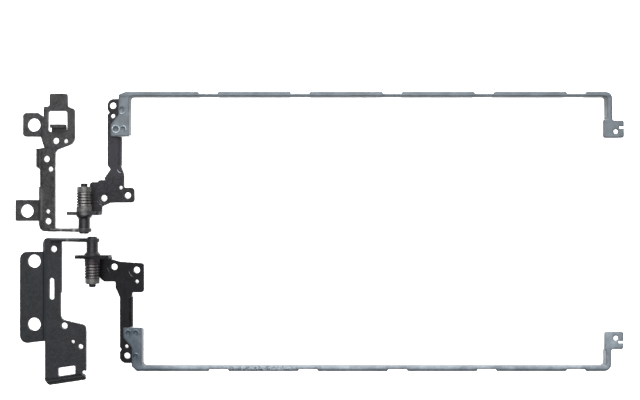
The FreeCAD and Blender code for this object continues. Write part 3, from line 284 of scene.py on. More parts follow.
class HingeFinishes(bpy.types.PropertyGroup):
    """Colours, roughness and pattern sizes of the metal finishes."""

    left_base_colour: bpy.props.StringProperty(
        name="Left base black", description="Colour of the left base bracket", default="#0d0d0e")
    left_base_pale: bpy.props.StringProperty(
        name="Left base specks", description="Colour of its paler grit", default="#2d2d2e")
    right_base_colour: bpy.props.StringProperty(
        name="Right base black", description="Colour of the right base bracket", default="#0d0e10")
    right_base_pale: bpy.props.StringProperty(
        name="Right base specks", description="Colour of its paler grit", default="#1b1d20")
    left_display_colour: bpy.props.StringProperty(
        name="Left display black", description="Colour of the left display bracket", default="#0a0a0b")
    left_display_pale: bpy.props.StringProperty(
        name="Left display specks", description="Colour of its paler grit", default="#232226")
    right_display_colour: bpy.props.StringProperty(
        name="Right display black", description="Colour of the right display bracket", default="#030304")
    right_display_pale: bpy.props.StringProperty(
        name="Right display specks", description="Colour of its paler grit", default="#111014")
    # Colour of worn edges, and also of the painted highlights on lit folds and edges
    worn_edge_and_highlight: bpy.props.StringProperty(
        name="Worn edge", description="Colour of steel bared at the edges", default="#8b8c8e")
    bracket_roughness: bpy.props.FloatProperty(
        name="Bracket roughness", description="Roughness of the coating",
        default=0.46, min=0, max=1, subtype="FACTOR")
    edge_round: bpy.props.FloatProperty(
        name="Edge rounding", description="Rolled edge of the brackets, washers and nuts",
        default=0.3 * MM, min=0.01 * MM, precision=5, subtype="DISTANCE")
    rail_round: bpy.props.FloatProperty(
        name="Rail rounding", description="Rolled edge of the rails",
        default=1.3 * MM, min=0.01 * MM, precision=5, subtype="DISTANCE")
    left_zinc: bpy.props.StringProperty(
        name="Left zinc", description="Colour of the left rail", default="#52595e")
    left_zinc_dull: bpy.props.StringProperty(
        name="Left dull zinc", description="Colour where its plating has dulled", default="#44494d")
    right_zinc: bpy.props.StringProperty(
        name="Right zinc", description="Colour of the right rail", default="#6a7177")
    right_zinc_dull: bpy.props.StringProperty(
        name="Right dull zinc", description="Colour where its plating has dulled", default="#4a5056")
    zinc_dark: bpy.props.StringProperty(
        name="Dark zinc", description="Colour where either plating is darkest", default="#2c343b")
    zinc_cloud: bpy.props.FloatProperty(
        name="Zinc clouds", description="Width of the plating's clouds",
        default=6.0 * MM, min=0.1 * MM, precision=5, subtype="DISTANCE")
    # The clinch ring colours also paint the highlight arc at the left display arm's bend
    ring_bright: bpy.props.StringProperty(
        name="Clinch ring", description="Colour of zinc burnished by the clinching", default="#98a2a8")
    ring_dull: bpy.props.StringProperty(
        name="Dull clinch ring", description="Colour of its duller places", default="#6c767c")
    worn_ring_bright: bpy.props.StringProperty(
        name="Worn clinch ring", description="Colour of the right rail's fainter rings", default="#6a747c")
    worn_ring_dull: bpy.props.StringProperty(
        name="Dull worn ring", description="Colour of their duller places", default="#4d565e")
    rub_bright: bpy.props.StringProperty(
        name="Coat rub", description="Colour of the coat rubbed by a screw head", default="#5f5e63")
    rub_dull: bpy.props.StringProperty(
        name="Dull coat rub", description="Colour of a rub's duller places", default="#2e2d31")
    plain_steel: bpy.props.StringProperty(
        name="Plain steel", description="Colour of the left washers", default="#4f4f4e")
    plain_film: bpy.props.StringProperty(
        name="Oiled plain steel", description="Colour of the left washers under oil", default="#373736")
    brown_steel: bpy.props.StringProperty(
        name="Browned steel", description="Colour of the right washers", default="#2b262a")
    brown_film: bpy.props.StringProperty(
        name="Oiled browned steel", description="Colour of the right washers under oil", default="#181518")
    nut_steel: bpy.props.StringProperty(
        name="Nut steel", description="Colour of the lock nuts", default="#535452")
    nut_film: bpy.props.StringProperty(
        name="Oiled nut steel", description="Colour of the lock nuts under oil", default="#3d3e3c")
    left_spring_rim: bpy.props.StringProperty(
        name="Left spring rim", description="Colour of the left springs' rubbed rims", default="#4c4b4a")
    right_spring_rim: bpy.props.StringProperty(
        name="Right spring rim", description="Colour of the right springs' rubbed rims", default="#3e3b3d")
    # Colour of the painted shade on the springs towards the shaft and on the outer flank of springs and nuts
    spring_grease: bpy.props.StringProperty(
        name="Spring grease", description="Colour of the film on springs and nuts", default="#1a1918")
    # Colour of the dark sleeve of painted shade in the gaps between the springs
    gap_shade_colour: bpy.props.StringProperty(
        name="Packed grease", description="Colour of the grease between the springs", default="#070707")
    shaft_colour: bpy.props.StringProperty(
        name="Shaft black", description="Colour of the oxidised shaft", default="#0f0f11")
    shaft_pale: bpy.props.StringProperty(
        name="Shaft smears", description="Colour where the oxide is rubbed", default="#1b1b1e")


class HingeThreads(bpy.types.PropertyGroup):
    """Sizes of the screw threads on the shafts' ends."""

    pitch: bpy.props.FloatProperty(
        name="Pitch", description="Distance from crest to crest",
        default=0.5 * MM, min=0.1 * MM, precision=5, subtype="DISTANCE")
    depth: bpy.props.FloatProperty(
        name="Depth", description="Height of the ridge",
        default=0.14 * MM, min=0.01 * MM, precision=5, subtype="DISTANCE")


class HingeMarks(bpy.types.PropertyGroup):
    """Sizes of the clinching tool's rings, the screws' rubs and the painted highlight arc at the arm's bend."""

    ring_width: bpy.props.FloatProperty(
        name="Ring width", description="Width of a pressed ring",
        default=0.42 * MM, min=0.05 * MM, precision=5, subtype="DISTANCE")
    ring_height: bpy.props.FloatProperty(
        name="Ring height", description="Height of a pressed ring",
        default=0.12 * MM, min=0.01 * MM, precision=5, subtype="DISTANCE")


class HingeStudio(bpy.types.PropertyGroup):
    """Camera, floor and lights of the studio."""

    camera_height: bpy.props.FloatProperty(
        name="Camera height", description="Height over the table", default=0.4, subtype="DISTANCE")
    camera_x: bpy.props.FloatProperty(
        name="Camera X", description="Place over the table",
        default=0.75 * MM, precision=5, subtype="DISTANCE")
    camera_y: bpy.props.FloatProperty(
        name="Camera Y", description="Place over the table",
        default=17.4 * MM, precision=5, subtype="DISTANCE")
    lens: bpy.props.FloatProperty(
        name="Lens", description="Focal length in millimetres", default=50.0, min=1, unit="CAMERA")
    floor_colour: bpy.props.StringProperty(
        name="Floor", description="Colour of the table", default="#f4f4f4")
    floor_glow: bpy.props.FloatProperty(
        name="Floor glow", description="Light that the table gives from below", default=0.65, min=0)
    key_power: bpy.props.FloatProperty(
        name="Key light", description="Power of the large lamp", default=38.0, min=0, unit="POWER")
    overhead_power: bpy.props.FloatProperty(
        name="Overhead light", description="Power of the long lamp", default=4.2, min=0, unit="POWER")
    wall_colour: bpy.props.StringProperty(
        name="Walls", description="Colour of the walls' light", default="#ffffff")
    bright_wall: bpy.props.FloatProperty(
        name="Bright wall", description="Strength of the wall towards the key lamp", default=0.95, min=0)
    far_wall: bpy.props.FloatProperty(
        name="Far wall", description="Strength of the wall away from the key lamp", default=0.3, min=0)


class HINGES_OT_brackets(bpy.types.Operator):
    """Coat the four folded brackets and the two shafts in black"""

    bl_idname = "hinges.brackets"
    bl_label = "Blacken brackets and shafts"

    def execute(self, context):
        finishes = context.scene.hinge_finishes
        for bracket in COATS:
            dress([f"{bracket}_bracket"], black_coating(bracket, finishes))
        dress([f"{side}_hinge_shaft" for side in SIDES], black_oxide(finishes))
        return {"FINISHED"}


class HINGES_OT_rails(bpy.types.Operator):
    """Plate the side rails with zinc"""

    bl_idname = "hinges.rails"
    bl_label = "Plate side rails"

    def execute(self, context):
        for side in SIDES:
            dress([f"{side}_side_rail"], zinc_plate(side, context.scene.hinge_finishes))
        return {"FINISHED"}


class HINGES_OT_stack(bpy.types.Operator):
    """Finish the washers, disc springs and nuts as bare steel, with painted shade on springs and nut flanks"""

    bl_idname = "hinges.stack"
    bl_label = "Finish washers, springs and nuts"

    def execute(self, context):
        finishes = context.scene.hinge_finishes
        plain = smooth_metal("plain_turned_steel", (finishes.plain_film, finishes.plain_steel), finishes)
        brown = smooth_metal("browned_turned_steel", (finishes.brown_film, finishes.brown_steel), finishes)
        for side, washer in zip(SIDES, (plain, brown)):
            dress([f"{side}_friction_washer", f"{side}_keyed_washer"], washer)
            dress(springs_of(side), spring_steel(side, finishes))
            nut = f"{side}_lock_nut"
            oiled = (finishes.nut_film, finishes.nut_steel)
            dress([nut], smooth_metal(f"{nut}_steel", oiled, finishes, nut))
        return {"FINISHED"}


class HINGES_OT_gap_shade(bpy.types.Operator):
    """Fill the gaps between the disc springs with a dark sleeve of painted shade"""

    bl_idname = "hinges.grease"
    bl_label = "Pack grease"

    def execute(self, context):
        filling = grease(context.scene.hinge_finishes)
        for side in SIDES:
            # A dark sleeve of painted shade in the gaps of each stack
            sleeve = gap_shade_sleeve(side)
            sleeve.data.materials.append(filling)
            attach(sleeve, "base")
        return {"FINISHED"}


class HINGES_OT_threads(bpy.types.Operator):
    """Cut the screw threads that show past the lock nuts"""

    bl_idname = "hinges.threads"
    bl_label = "Cut shaft threads"

    def execute(self, context):
        sizes = context.scene.hinge_threads
        for side in SIDES:
            piece = thread_ridge(side, sizes)
            piece.data.materials.append(frame["nodes"][f"{side}_hinge_shaft"].material_slots[0].material)
            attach(piece, "base")
        return {"FINISHED"}


class HINGES_OT_marks(bpy.types.Operator):
    """Press rings round the clinched buttons, rubs beside the lid's screws and a painted highlight arc at an arm's
    bend
    """

    bl_idname = "hinges.marks"
    bl_label = "Press rings and rubs"

    def execute(self, context):
        finishes, sizes = context.scene.hinge_finishes, context.scene.hinge_marks
        # Burnished zinc of the left clinch rings, also used for the painted highlight arc at the left arm's bend
        burnished = smooth_metal("burnished_zinc", (finishes.ring_dull, finishes.ring_bright), finishes)
        worn = smooth_metal("worn_zinc", (finishes.worn_ring_dull, finishes.worn_ring_bright), finishes)
        rubbed = smooth_metal("rubbed_black_coat", (finishes.rub_dull, finishes.rub_bright), finishes)
        for node, marks in PRESS_MARKS.items():
            side, kind = node.split("_", 1)
            bright = burnished if side == "left" else worn
            for name, arc in marks.items():
                mark = press_mark(f"{side}_{name}", arc, plate_top(side, kind), sizes)
                mark.data.materials.append(rubbed if name.endswith("_rub") else bright)
                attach(mark, f"{side}_display")
        return {"FINISHED"}


class HINGES_OT_studio(bpy.types.Operator):
    """Set the pale table, the soft lights and the camera straight above"""

    bl_idname = "hinges.studio"
    bl_label = "Set up studio"

    def execute(self, context):
        settings = context.scene.hinge_studio
        table(settings)
        walls(settings)
        add_lamp("key", settings.key_power, KEY_SIZE, KEY_PLACE)
        add_lamp("overhead", settings.overhead_power, OVERHEAD_SIZE, OVERHEAD_PLACE)
        camera(settings)
        return {"FINISHED"}


class HINGES_PT_panel(bpy.types.Panel):
    """Lists the steps that dress the hinges"""

    bl_idname = "HINGES_PT_panel"
    bl_label = "Hinges"
    bl_space_type = "VIEW_3D"
    bl_region_type = "UI"
    bl_category = "Hinges"

    def draw(self, context):
        for operator in OPERATORS:
            self.layout.operator(operator.bl_idname)
        for group in GROUPS:
            settings = getattr(context.scene, group)
            for name in settings.__annotations__:
                self.layout.prop(settings, name)


def stretch(tree, place, axis, ends):
    """One along a stretch of an axis, with start, end and fade in mm, and nought away from it."""
    start, end, fade = ends
    along = add_node(tree, "ShaderNodeSeparateXYZ", links={"Vector": place}).outputs[axis]
    rise = add_node(
        tree, "ShaderNodeMapRange",
        values={"From Min": (start - fade) * MM, "From Max": (start + fade) * MM}, links={"Value": along})
    fall = add_node(
        tree, "ShaderNodeMapRange",
        values={"From Min": (end + fade) * MM, "From Max": (end - fade) * MM}, links={"Value": along})
    inside = add_node(
        tree, "ShaderNodeMath", {"operation": "MULTIPLY"},
        links={0: rise.outputs["Result"], 1: fall.outputs["Result"]})
    return inside.outputs["Value"]


def inside_box(tree, place, low, high, fade):
    """One inside a box between two corners, with its fade, all in mm, and nought away from it."""
    along_x, along_y, along_z = (
        stretch(tree, place, axis, (start, end, fade)) for axis, start, end in zip("XYZ", low, high))
    flat = add_node(tree, "ShaderNodeMath", {"operation": "MULTIPLY"}, links={0: along_x, 1: along_y})
    inside = add_node(
        tree, "ShaderNodeMath", {"operation": "MULTIPLY"}, links={0: flat.outputs["Value"], 1: along_z})
    return inside.outputs["Value"]


def flank_shade_mask(tree, place, node, begins, fade):
    """One on the flank of a spring or nut away from its bracket, where shade is painted, else nought."""
    low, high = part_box(node)
    middle, radius = (low.x + high.x) / 2 / MM, (high.x - low.x) / 2 / MM
    return stretch(tree, place, "X", (middle - 2 * radius, middle - begins * radius, fade))


def black_coating(bracket, finishes):
    """Black electro-coat on stamped steel: a satin skin over grit, worn to steel at edges and spots, painted
    highlights.
    """
    coat = COATS[bracket]
    colours = getattr(finishes, f"{bracket}_colour"), getattr(finishes, f"{bracket}_pale")
    material, tree = new_finish(f"{bracket}_black_coat")
    place = add_node(tree, "ShaderNodeTexCoord").outputs["Object"]
    clouds = add_node(
        tree, "ShaderNodeTexNoise", values={"Scale": 1 / COAT_CLOUD, "Detail": 4.0, "Roughness": 0.6},
        links={"Vector": place}).outputs["Fac"]
    grain = add_node(
        tree, "ShaderNodeTexNoise", values={"Scale": 1 / coat["grit"], "Detail": 3.0, "Roughness": 0.65},
        links={"Vector": place}).outputs["Fac"]
    specks = add_node(
        tree, "ShaderNodeMath", {"operation": "MULTIPLY_ADD"}, {1: CLOUD_SHARE},
        {0: clouds, 2: grain}).outputs["Value"]
    # Paler stretch of the coat; on the right base it is a painted highlight along the fold
    if bracket in PALE_AND_HIGHLIGHT_STRETCHES:
        axis, ends, share = PALE_AND_HIGHLIGHT_STRETCHES[bracket]
        specks = add_node(
            tree, "ShaderNodeMath", {"operation": "MULTIPLY_ADD"}, {1: share},
            {0: stretch(tree, place, axis, ends), 2: specks}).outputs["Value"]
    skin = add_node(
        tree, "ShaderNodeValToRGB", links={"Fac": specks},
        stops=list(zip(COAT_STOPS, colours)))
    # Worn edges: where the rolled normal leans from the flat face, in patches that follow the clouds
    rolled = add_node(tree, "ShaderNodeBevel", {"samples": BEVEL_SAMPLES}, {"Radius": finishes.edge_round})
    face = add_node(tree, "ShaderNodeNewGeometry")
    lean = add_node(
        tree, "ShaderNodeVectorMath", {"operation": "DOT_PRODUCT"},
        links={0: rolled.outputs["Normal"], 1: face.outputs["True Normal"]})
    edges = add_node(
        tree, "ShaderNodeMapRange", {"interpolation_type": "SMOOTHSTEP"},
        {"From Min": EDGE_BEGINS, "From Max": EDGE_WORN, "To Min": 0.0, "To Max": EDGE_SHARE},
        {"Value": lean.outputs["Value"]})
    patches = add_node(
        tree, "ShaderNodeMapRange", values={"From Min": CLOUD_BEGINS, "From Max": CLOUD_WORN},
        links={"Value": clouds})
    wear_and_highlight = add_node(
        tree, "ShaderNodeMath", {"operation": "MULTIPLY"},
        links={0: edges.outputs["Result"], 1: patches.outputs["Result"]}).outputs["Value"]
    # Add scuffs to bare steel and painted highlights on lit folds, edges and lug halves
    for low, high, fade, share in SCUFFS_AND_HIGHLIGHTS[bracket].values():
        wear_and_highlight = add_node(
            tree, "ShaderNodeMath", {"operation": "MULTIPLY_ADD"}, {1: share},
            {0: inside_box(tree, place, low, high, fade), 2: wear_and_highlight}).outputs["Value"]
    colour = add_node(
        tree, "ShaderNodeMix", {"data_type": "RGBA"}, {"B": linear(finishes.worn_edge_and_highlight)},
        {"Factor": wear_and_highlight, "A": skin.outputs["Color"]})
    bump = add_node(
        tree, "ShaderNodeBump", values={"Strength": coat["bump"], "Distance": GRIT_DEPTH},
        links={"Height": grain, "Normal": rolled.outputs["Normal"]})
    roughness = add_node(
        tree, "ShaderNodeMapRange",
        values={"To Min": finishes.bracket_roughness - SMOOTHER,
                "To Max": finishes.bracket_roughness + ROUGHER},
        links={"Value": grain})
    shader = add_node(
        tree, "ShaderNodeBsdfPrincipled", values={"Metallic": 0.0, "Specular IOR Level": coat["sheen"]},
        links={"Base Color": colour.outputs["Result"], "Roughness": roughness.outputs["Result"],
               "Normal": bump.outputs["Normal"]})
    add_node(tree, "ShaderNodeOutputMaterial", links={"Surface": shader.outputs["BSDF"]})
    return material


def black_oxide(finishes):
    """Black oxide on turned steel: dark, partly metallic, with fine turning rings and paler smears."""
    material, tree = new_finish("black_oxide_steel")
    place = add_node(tree, "ShaderNodeTexCoord").outputs["Object"]
    rings = add_node(
        tree, "ShaderNodeTexWave", {"bands_direction": "Y"},
        {"Scale": WAVE_LENGTH / TURNING_RING, "Distortion": 1.5, "Detail": 2.0}, {"Vector": place})
    bump = add_node(
        tree, "ShaderNodeBump", values={"Strength": 0.2, "Distance": RING_DEPTH},
        links={"Height": rings.outputs["Fac"]})
    smears = add_node(
        tree, "ShaderNodeTexNoise", values={"Scale": 1 / OXIDE_SMEAR, "Detail": 3.0},
        links={"Vector": place})
    oxide = add_node(
        tree, "ShaderNodeValToRGB", links={"Fac": smears.outputs["Fac"]},
        stops=list(zip(OXIDE_STOPS, (finishes.shaft_colour, finishes.shaft_pale))))
    shader = add_node(
        tree, "ShaderNodeBsdfPrincipled",
        values={"Metallic": 0.3, "Roughness": 0.4, "Specular IOR Level": 0.2},
        links={"Base Color": oxide.outputs["Color"], "Normal": bump.outputs["Normal"]})
    add_node(tree, "ShaderNodeOutputMaterial", links={"Surface": shader.outputs["BSDF"]})
    return material


def zinc_plate(side, finishes):
    """Zinc plate on thin rolled steel: blue-grey, cloudy, softly metallic, darker at its clinched end, painted
    shade on its bend.
    """
    plating = RAIL_PLATING[side]
    colours = finishes.zinc_dark, getattr(finishes, f"{side}_zinc_dull"), getattr(finishes, f"{side}_zinc")
    material, tree = new_finish(f"{side}_zinc_plated_steel")
    place = add_node(tree, "ShaderNodeTexCoord").outputs["Object"]
    clouds = add_node(
        tree, "ShaderNodeTexNoise",
        values={"Scale": 1 / finishes.zinc_cloud, "Detail": 6.0, "Roughness": 0.7},
        links={"Vector": place}).outputs["Fac"]
    along = add_node(tree, "ShaderNodeSeparateXYZ", links={"Vector": place}).outputs["X"]
    # Darker towards the clinched end, from its darkest place to its full tone
    darkest, full_tone = plating["dull_end"]
    dulled = add_node(
        tree, "ShaderNodeMapRange",
        values={"From Min": darkest * MM, "From Max": full_tone * MM,
                "To Min": plating["end_share"], "To Max": 0.0},
        links={"Value": along})
    shade = add_node(
        tree, "ShaderNodeMath", {"operation": "ADD"},
        links={0: clouds, 1: dulled.outputs["Result"]}).outputs["Value"]
    if "hammered" in plating:
        shade = add_node(
            tree, "ShaderNodeMix", {"data_type": "FLOAT"},
            links={"Factor": stretch(tree, place, "X", plating["hammered"]), "A": shade,
                   "B": hammered_grain(tree, place)}).outputs["Result"]
    # Painted shade: a darker band along Y on the rail's bend
    with_shade_band = add_node(
        tree, "ShaderNodeMath", {"operation": "MULTIPLY_ADD"}, {1: plating["band_share"]},
        {0: stretch(tree, place, "Y", plating["dark_band"]), 2: shade})
    colour = add_node(
        tree, "ShaderNodeValToRGB", links={"Fac": with_shade_band.outputs["Value"]},
        stops=list(zip(ZINC_STOPS, colours)))
    roughness = add_node(
        tree, "ShaderNodeMapRange", values={"To Min": ZINC_SMOOTH, "To Max": ZINC_ROUGH},
        links={"Value": clouds})
    drawn_out = add_node(tree, "ShaderNodeMapping", values={"Scale": DRAWN_OUT}, links={"Vector": place})
    lines = add_node(
        tree, "ShaderNodeTexNoise", values={"Scale": 1 / ROLLING_LINE, "Detail": 3.0},
        links={"Vector": drawn_out.outputs["Vector"]})
    rolled = add_node(tree, "ShaderNodeBevel", {"samples": BEVEL_SAMPLES}, {"Radius": finishes.rail_round})
    bump = add_node(
        tree, "ShaderNodeBump", values={"Strength": 0.2, "Distance": LINE_DEPTH},
        links={"Height": lines.outputs["Fac"], "Normal": rolled.outputs["Normal"]})
    shader = add_node(
        tree, "ShaderNodeBsdfPrincipled", values={"Metallic": 0.5, "Specular IOR Level": 0.3},
        links={"Base Color": colour.outputs["Color"], "Roughness": roughness.outputs["Result"],
               "Normal": bump.outputs["Normal"]})
    add_node(tree, "ShaderNodeOutputMaterial", links={"Surface": shader.outputs["BSDF"]})
    return material


def hammered_grain(tree, place):
    """Pale and dark specks of a hammered grain, from nought to one."""
    noise = add_node(
        tree, "ShaderNodeTexNoise", values={"Scale": 1 / HAMMERED_GRAIN, "Detail": 2.0},
        links={"Vector": place})
    grain = add_node(
        tree, "ShaderNodeMapRange", values={"From Min": SPECK_DARK, "From Max": SPECK_PALE},
        links={"Value": noise.outputs["Fac"]})
    return grain.outputs["Result"]


def spring_steel(side, finishes):
    """Spring steel: rims in the steel's colour, with painted shade towards the shaft and on the outer flank."""
    material, tree = new_finish(f"{side}_greased_spring_steel")
    place = add_node(tree, "ShaderNodeTexCoord").outputs["Object"]
    colours = finishes.spring_grease, getattr(finishes, f"{side}_spring_rim")
    spring = f"{side}_disc_spring_1"
    low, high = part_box(spring)
    rim = (high.x - low.x) / 2
    axis_x, axis_z = shaft_axis(side)
    from_shaft = add_node(
        tree, "ShaderNodeMapping", values={"Location": (-axis_x, 0.0, -axis_z), "Scale": (1.0, 0.0, 1.0)},
        links={"Vector": place})
    radius = add_node(
        tree, "ShaderNodeVectorMath", {"operation": "LENGTH"}, links={0: from_shaft.outputs["Vector"]})
    # Painted shade in the gaps: dark towards the shaft, the steel's colour only on the rim
    rubbed = add_node(
        tree, "ShaderNodeMapRange", values={"From Min": RIM_START * rim, "From Max": rim},
        links={"Value": radius.outputs["Value"]})
    # Painted shade on the outer flank
    begins, fade, share = SPRING_FLANK_SHADE
    shaded = add_node(
        tree, "ShaderNodeMath", {"operation": "MULTIPLY_ADD"}, {1: share},
        {0: flank_shade_mask(tree, place, spring, begins, fade), 2: rubbed.outputs["Result"]})
    colour = add_node(
        tree, "ShaderNodeValToRGB", links={"Fac": shaded.outputs["Value"]},
        stops=list(zip(SPRING_STOPS, colours)))
    oil = add_node(
        tree, "ShaderNodeTexNoise", values={"Scale": 1 / SPRING_OIL, "Detail": 4.0},
        links={"Vector": place})
    roughness = add_node(
        tree, "ShaderNodeMapRange", values={"To Min": SPRING_SMOOTH, "To Max": SPRING_ROUGH},
        links={"Value": oil.outputs["Fac"]})
    shader = add_node(
        tree, "ShaderNodeBsdfPrincipled", values={"Metallic": 0.9},
        links={"Base Color": colour.outputs["Color"], "Roughness": roughness.outputs["Result"]})
    add_node(tree, "ShaderNodeOutputMaterial", links={"Surface": shader.outputs["BSDF"]})
    return material


def smooth_metal(name, colours, finishes, nut=None):
    """Metal smoothed by turning, pressing or rubbing: a soft shine with patches of a dull film.

    The colours are the film's and the metal's. A nut's outer flank gets painted shade, darker and less metallic.
    """
    material, tree = new_finish(name)
    place = add_node(tree, "ShaderNodeTexCoord").outputs["Object"]
    film = add_node(
        tree, "ShaderNodeTexNoise", values={"Scale": 1 / STEEL_FILM, "Detail": 5.0},
        links={"Vector": place}).outputs["Fac"]
    shade, stops, flank_links = film, METAL_STOPS, {}
    # Painted shade on a nut's outer flank: darker and less metallic
    if nut:
        begins, fade, share = NUT_FLANK_SHADE
        flank = flank_shade_mask(tree, place, nut, begins, fade)
        shade = add_node(
            tree, "ShaderNodeMath", {"operation": "MULTIPLY_ADD"}, {1: share},
            {0: flank, 2: film}).outputs["Value"]
        stops, colours = NUT_STOPS, (finishes.spring_grease, *colours)
        metal = add_node(
            tree, "ShaderNodeMapRange", values={"To Min": BARE_METAL, "To Max": SHADED_FLANK_METAL},
            links={"Value": flank})
        flank_links = {"Metallic": metal.outputs["Result"]}
    colour = add_node(tree, "ShaderNodeValToRGB", links={"Fac": shade}, stops=list(zip(stops, colours)))
    rolled = add_node(tree, "ShaderNodeBevel", {"samples": BEVEL_SAMPLES}, {"Radius": finishes.edge_round})
    bump = add_node(
        tree, "ShaderNodeBump", values={"Strength": 0.15, "Distance": FILM_DEPTH},
        links={"Height": film, "Normal": rolled.outputs["Normal"]})
    shader = add_node(
        tree, "ShaderNodeBsdfPrincipled",
        values={"Metallic": BARE_METAL, "Roughness": 0.5, "Specular IOR Level": 0.2 if nut else 0.5},
        links={"Base Color": colour.outputs["Color"], "Normal": bump.outputs["Normal"], **flank_links})
    add_node(tree, "ShaderNodeOutputMaterial", links={"Surface": shader.outputs["BSDF"]})
    return material


def grease(finishes):
    """Painted shade: a dark dull skin that fills the gaps between the springs' rims."""
    material, tree = new_finish("dark_spring_grease")
    shader = add_node(
        tree, "ShaderNodeBsdfPrincipled",
        values={"Base Color": linear(finishes.gap_shade_colour), "Roughness": 0.5, "Specular IOR Level": 0.05})
    add_node(tree, "ShaderNodeOutputMaterial", links={"Surface": shader.outputs["BSDF"]})
    return material


def mesh_piece(name, points, faces):
    """Put a grid of points and its faces into a smooth mesh object at the origin."""
    mesh = bpy.data.meshes.new(name)
    mesh.from_pydata(points.reshape(-1, 3).tolist(), [], faces)
    mesh.polygons.foreach_set("use_smooth", np.ones(len(mesh.polygons), bool))
    mesh.update()
    piece = bpy.data.objects.new(name, mesh)
    bpy.context.scene.collection.objects.link(piece)
    return piece


def tube_faces(rows, columns, closed):
    """Quads round a tube of sections, each a row of points, that closes on itself or has two end caps."""
    row, column = np.meshgrid(np.arange(rows if closed else rows - 1), np.arange(columns), indexing="ij")
    below = (row + 1) % rows
    after = (column + 1) % columns
    quads = np.stack([row * columns + column, row * columns + after,
                      below * columns + after, below * columns + column], axis=-1)
    faces = quads.reshape(-1, 4).tolist()
    if not closed:
        first = np.arange(columns)
        faces += [first[::-1].tolist(), (first + (rows - 1) * columns).tolist()]
    return faces


def gap_shade_sleeve(side):
    """Painted shade in a stack's gaps: a four-cornered profile carried round the shaft.

    A point at angle a and profile corner k is at radius r_k, angle a and place y_k along the shaft. The
    corners lie at both ends of the springs, at half their rims' radius and a little under their rims.
    """
    boxes = [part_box(name) for name in springs_of(side)]
    start = min(low.y for low, _ in boxes) + GAP_SHADE_INSET
    end = max(high.y for _, high in boxes) - GAP_SHADE_INSET
    rim = (boxes[0][1].x - boxes[0][0].x) / 2
    inner, outer = rim / 2, rim - GAP_SHADE_DEPTH
    axis_x, axis_z = shaft_axis(side)
    angle = np.linspace(0, 2 * math.pi, GAP_SHADE_STEPS, endpoint=False)[:, None]
    radius = np.array([inner, outer, outer, inner])
    along = np.broadcast_to([start, start, end, end], (GAP_SHADE_STEPS, len(radius)))
    points = np.stack([axis_x + radius * np.cos(angle), along, axis_z + radius * np.sin(angle)], axis=-1)
    return mesh_piece(f"{side}_spring_grease", points, tube_faces(GAP_SHADE_STEPS, len(radius), True))


def thread_ridge(side, sizes):
    """Screw ridge on a shaft's end: a triangle of the thread's depth carried along a helix.

    A point at angle a and profile corner k is at radius core + d_k, angle a and place
    y_k + pitch * a / (2 pi) along the shaft. The triangle shrinks to a tip over its first and last
    quarter turn.
    """
    low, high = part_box(f"{side}_hinge_shaft")
    nut_low, nut_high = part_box(f"{side}_lock_nut")
    axis_x, axis_z = shaft_axis(side)
    towards = 1 if side == "left" else -1
    start, end = (nut_high.y, high.y) if side == "left" else (nut_low.y, low.y)
    turns = (abs(end - start) - THREAD_CHAMFER - sizes.pitch) / sizes.pitch
    steps = int(turns * THREAD_STEPS)
    angle = np.linspace(0, 2 * math.pi * turns, steps)
    rise = sizes.pitch * angle / (2 * math.pi)
    swell = np.clip(np.minimum(angle, angle[-1] - angle) / (math.pi / 2), THREAD_RUN_OUT, 1)
    radius = THREAD_CORE + np.outer(swell, [0.0, sizes.depth, 0.0])
    foot = THREAD_FOOT * sizes.pitch
    along = rise[:, None] + sizes.pitch / 2 + np.outer(swell, [-foot, 0.0, foot])
    points = np.stack([axis_x + radius * np.cos(angle)[:, None],
                       start + towards * along,
                       axis_z + towards * radius * np.sin(angle)[:, None]], axis=-1)
    return mesh_piece(f"{side}_shaft_thread", points, tube_faces(*radius.shape, False))


def press_mark(name, arc, level, sizes):
    """Raised ring, or an arc of one, that a tool or a screw head pressed on a plate.

    A point at angle a round the ring and b round its section is at distance radius + w cos(b) from the
    ring's middle and at height h sin(b) over the plate, so its lower half is sunk. An arc's w and h shrink
    towards its ends.
    """
    middle_x, middle_y, radius = (length * MM for length in arc[:3])
    start, end = arc[3:]
    closed = end - start == FULL_TURN
    around = np.radians(np.linspace(start, end, RING_STEPS, endpoint=not closed))[:, None]
    section = -np.linspace(0, 2 * math.pi, SECTION_STEPS, endpoint=False)
    swell = np.sqrt(np.sin(np.linspace(0, math.pi, RING_STEPS)))
    taper = np.ones(RING_STEPS) if closed else np.clip(swell, MARK_TIP, 1)
    out = radius + np.outer(taper, np.cos(section)) * sizes.ring_width / 2
    height = np.outer(taper, np.sin(section)) * sizes.ring_height
    points = np.stack([middle_x + out * np.cos(around),
                       middle_y + out * np.sin(around),
                       level + height], axis=-1)
    return mesh_piece(name, points, tube_faces(RING_STEPS, SECTION_STEPS, closed))


def table(settings):
    """Pale matt light table, a wide flat sheet under the hinges that whitens their holes and shadows."""
    mesh = bpy.data.meshes.new("table")
    corners = [(-TABLE_REACH, -TABLE_REACH, 0), (TABLE_REACH, -TABLE_REACH, 0),
               (TABLE_REACH, TABLE_REACH, 0), (-TABLE_REACH, TABLE_REACH, 0)]
    mesh.from_pydata(corners, [], [(0, 1, 2, 3)])
    floor = bpy.data.objects.new("table", mesh)
    material, tree = new_finish("white_matt_table")
    white = linear(settings.floor_colour)
    shader = add_node(
        tree, "ShaderNodeBsdfPrincipled",
        values={"Base Color": white, "Roughness": 0.9, "Specular IOR Level": 0.0,
                "Emission Color": white, "Emission Strength": settings.floor_glow})
    add_node(tree, "ShaderNodeOutputMaterial", links={"Surface": shader.outputs["BSDF"]})
    mesh.materials.append(material)
    bpy.context.scene.collection.objects.link(floor)


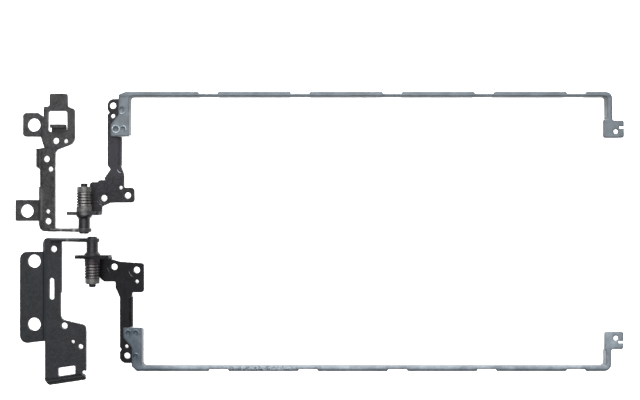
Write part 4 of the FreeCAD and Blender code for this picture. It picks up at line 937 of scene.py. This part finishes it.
def walls(settings):
    """White walls that darken away from the key lamp, shown without any film curve."""
    world = bpy.data.worlds.new("studio_walls")
    world.use_nodes = True
    tree = world.node_tree
    direction = add_node(tree, "ShaderNodeTexCoord").outputs["Generated"]
    towards = add_node(
        tree, "ShaderNodeVectorMath", {"operation": "DOT_PRODUCT"}, {1: BRIGHT_WALL}, {0: direction})
    light = add_node(
        tree, "ShaderNodeMapRange",
        values={"From Min": -WALL_BLEND, "From Max": WALL_BLEND,
                "To Min": settings.far_wall, "To Max": settings.bright_wall},
        links={"Value": towards.outputs["Value"]})
    background = tree.nodes["Background"]
    background.inputs["Color"].default_value = linear(settings.wall_colour)
    tree.links.new(light.outputs["Result"], background.inputs["Strength"])
    scene = bpy.context.scene
    scene.world = world
    scene.view_settings.view_transform = "Standard"


def add_lamp(name, power, size, place):
    """Rectangular lamp above the table's Y axis that looks at the table's middle."""
    data = bpy.data.lights.new(name, "AREA")
    data.shape = "RECTANGLE"
    data.size, data.size_y = size
    data.energy = power
    lamp = bpy.data.objects.new(name, data)
    lamp.location = (0.0, *place)
    lamp.rotation_euler = (-math.atan2(*place), 0.0, 0.0)
    bpy.context.scene.collection.objects.link(lamp)


def camera(settings):
    """Camera straight above the table, its top edge towards +Y."""
    data = bpy.data.cameras.new("camera")
    data.lens = settings.lens
    data.sensor_width = SENSOR_WIDTH
    data.clip_start, data.clip_end = CLIP_NEAR, CLIP_FAR
    eye = bpy.data.objects.new("camera", data)
    eye.location = (settings.camera_x, settings.camera_y, settings.camera_height)
    bpy.context.scene.collection.objects.link(eye)
    bpy.context.scene.camera = eye


GROUPS = {
    "hinge_finishes": HingeFinishes,
    "hinge_threads": HingeThreads,
    "hinge_marks": HingeMarks,
    "hinge_studio": HingeStudio,
}
OPERATORS = (
    HINGES_OT_brackets, HINGES_OT_rails, HINGES_OT_stack, HINGES_OT_gap_shade, HINGES_OT_threads,
    HINGES_OT_marks, HINGES_OT_studio)


def register():
    for group in GROUPS.values():
        bpy.utils.register_class(group)
    for name, group in GROUPS.items():
        setattr(bpy.types.Scene, name, bpy.props.PointerProperty(type=group))
    for operator in OPERATORS:
        bpy.utils.register_class(operator)
    bpy.utils.register_class(HINGES_PT_panel)


def unregister():
    bpy.utils.unregister_class(HINGES_PT_panel)
    for operator in reversed(OPERATORS):
        bpy.utils.unregister_class(operator)
    for name in GROUPS:
        delattr(bpy.types.Scene, name)
    for group in reversed(list(GROUPS.values())):
        bpy.utils.unregister_class(group)


def main():
    """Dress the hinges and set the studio."""
    register()
    bpy.ops.hinges.brackets()
    bpy.ops.hinges.rails()
    bpy.ops.hinges.stack()
    bpy.ops.hinges.grease()
    bpy.ops.hinges.threads()
    bpy.ops.hinges.marks()
    bpy.ops.hinges.studio()


if __name__ == "__main__":
    main()
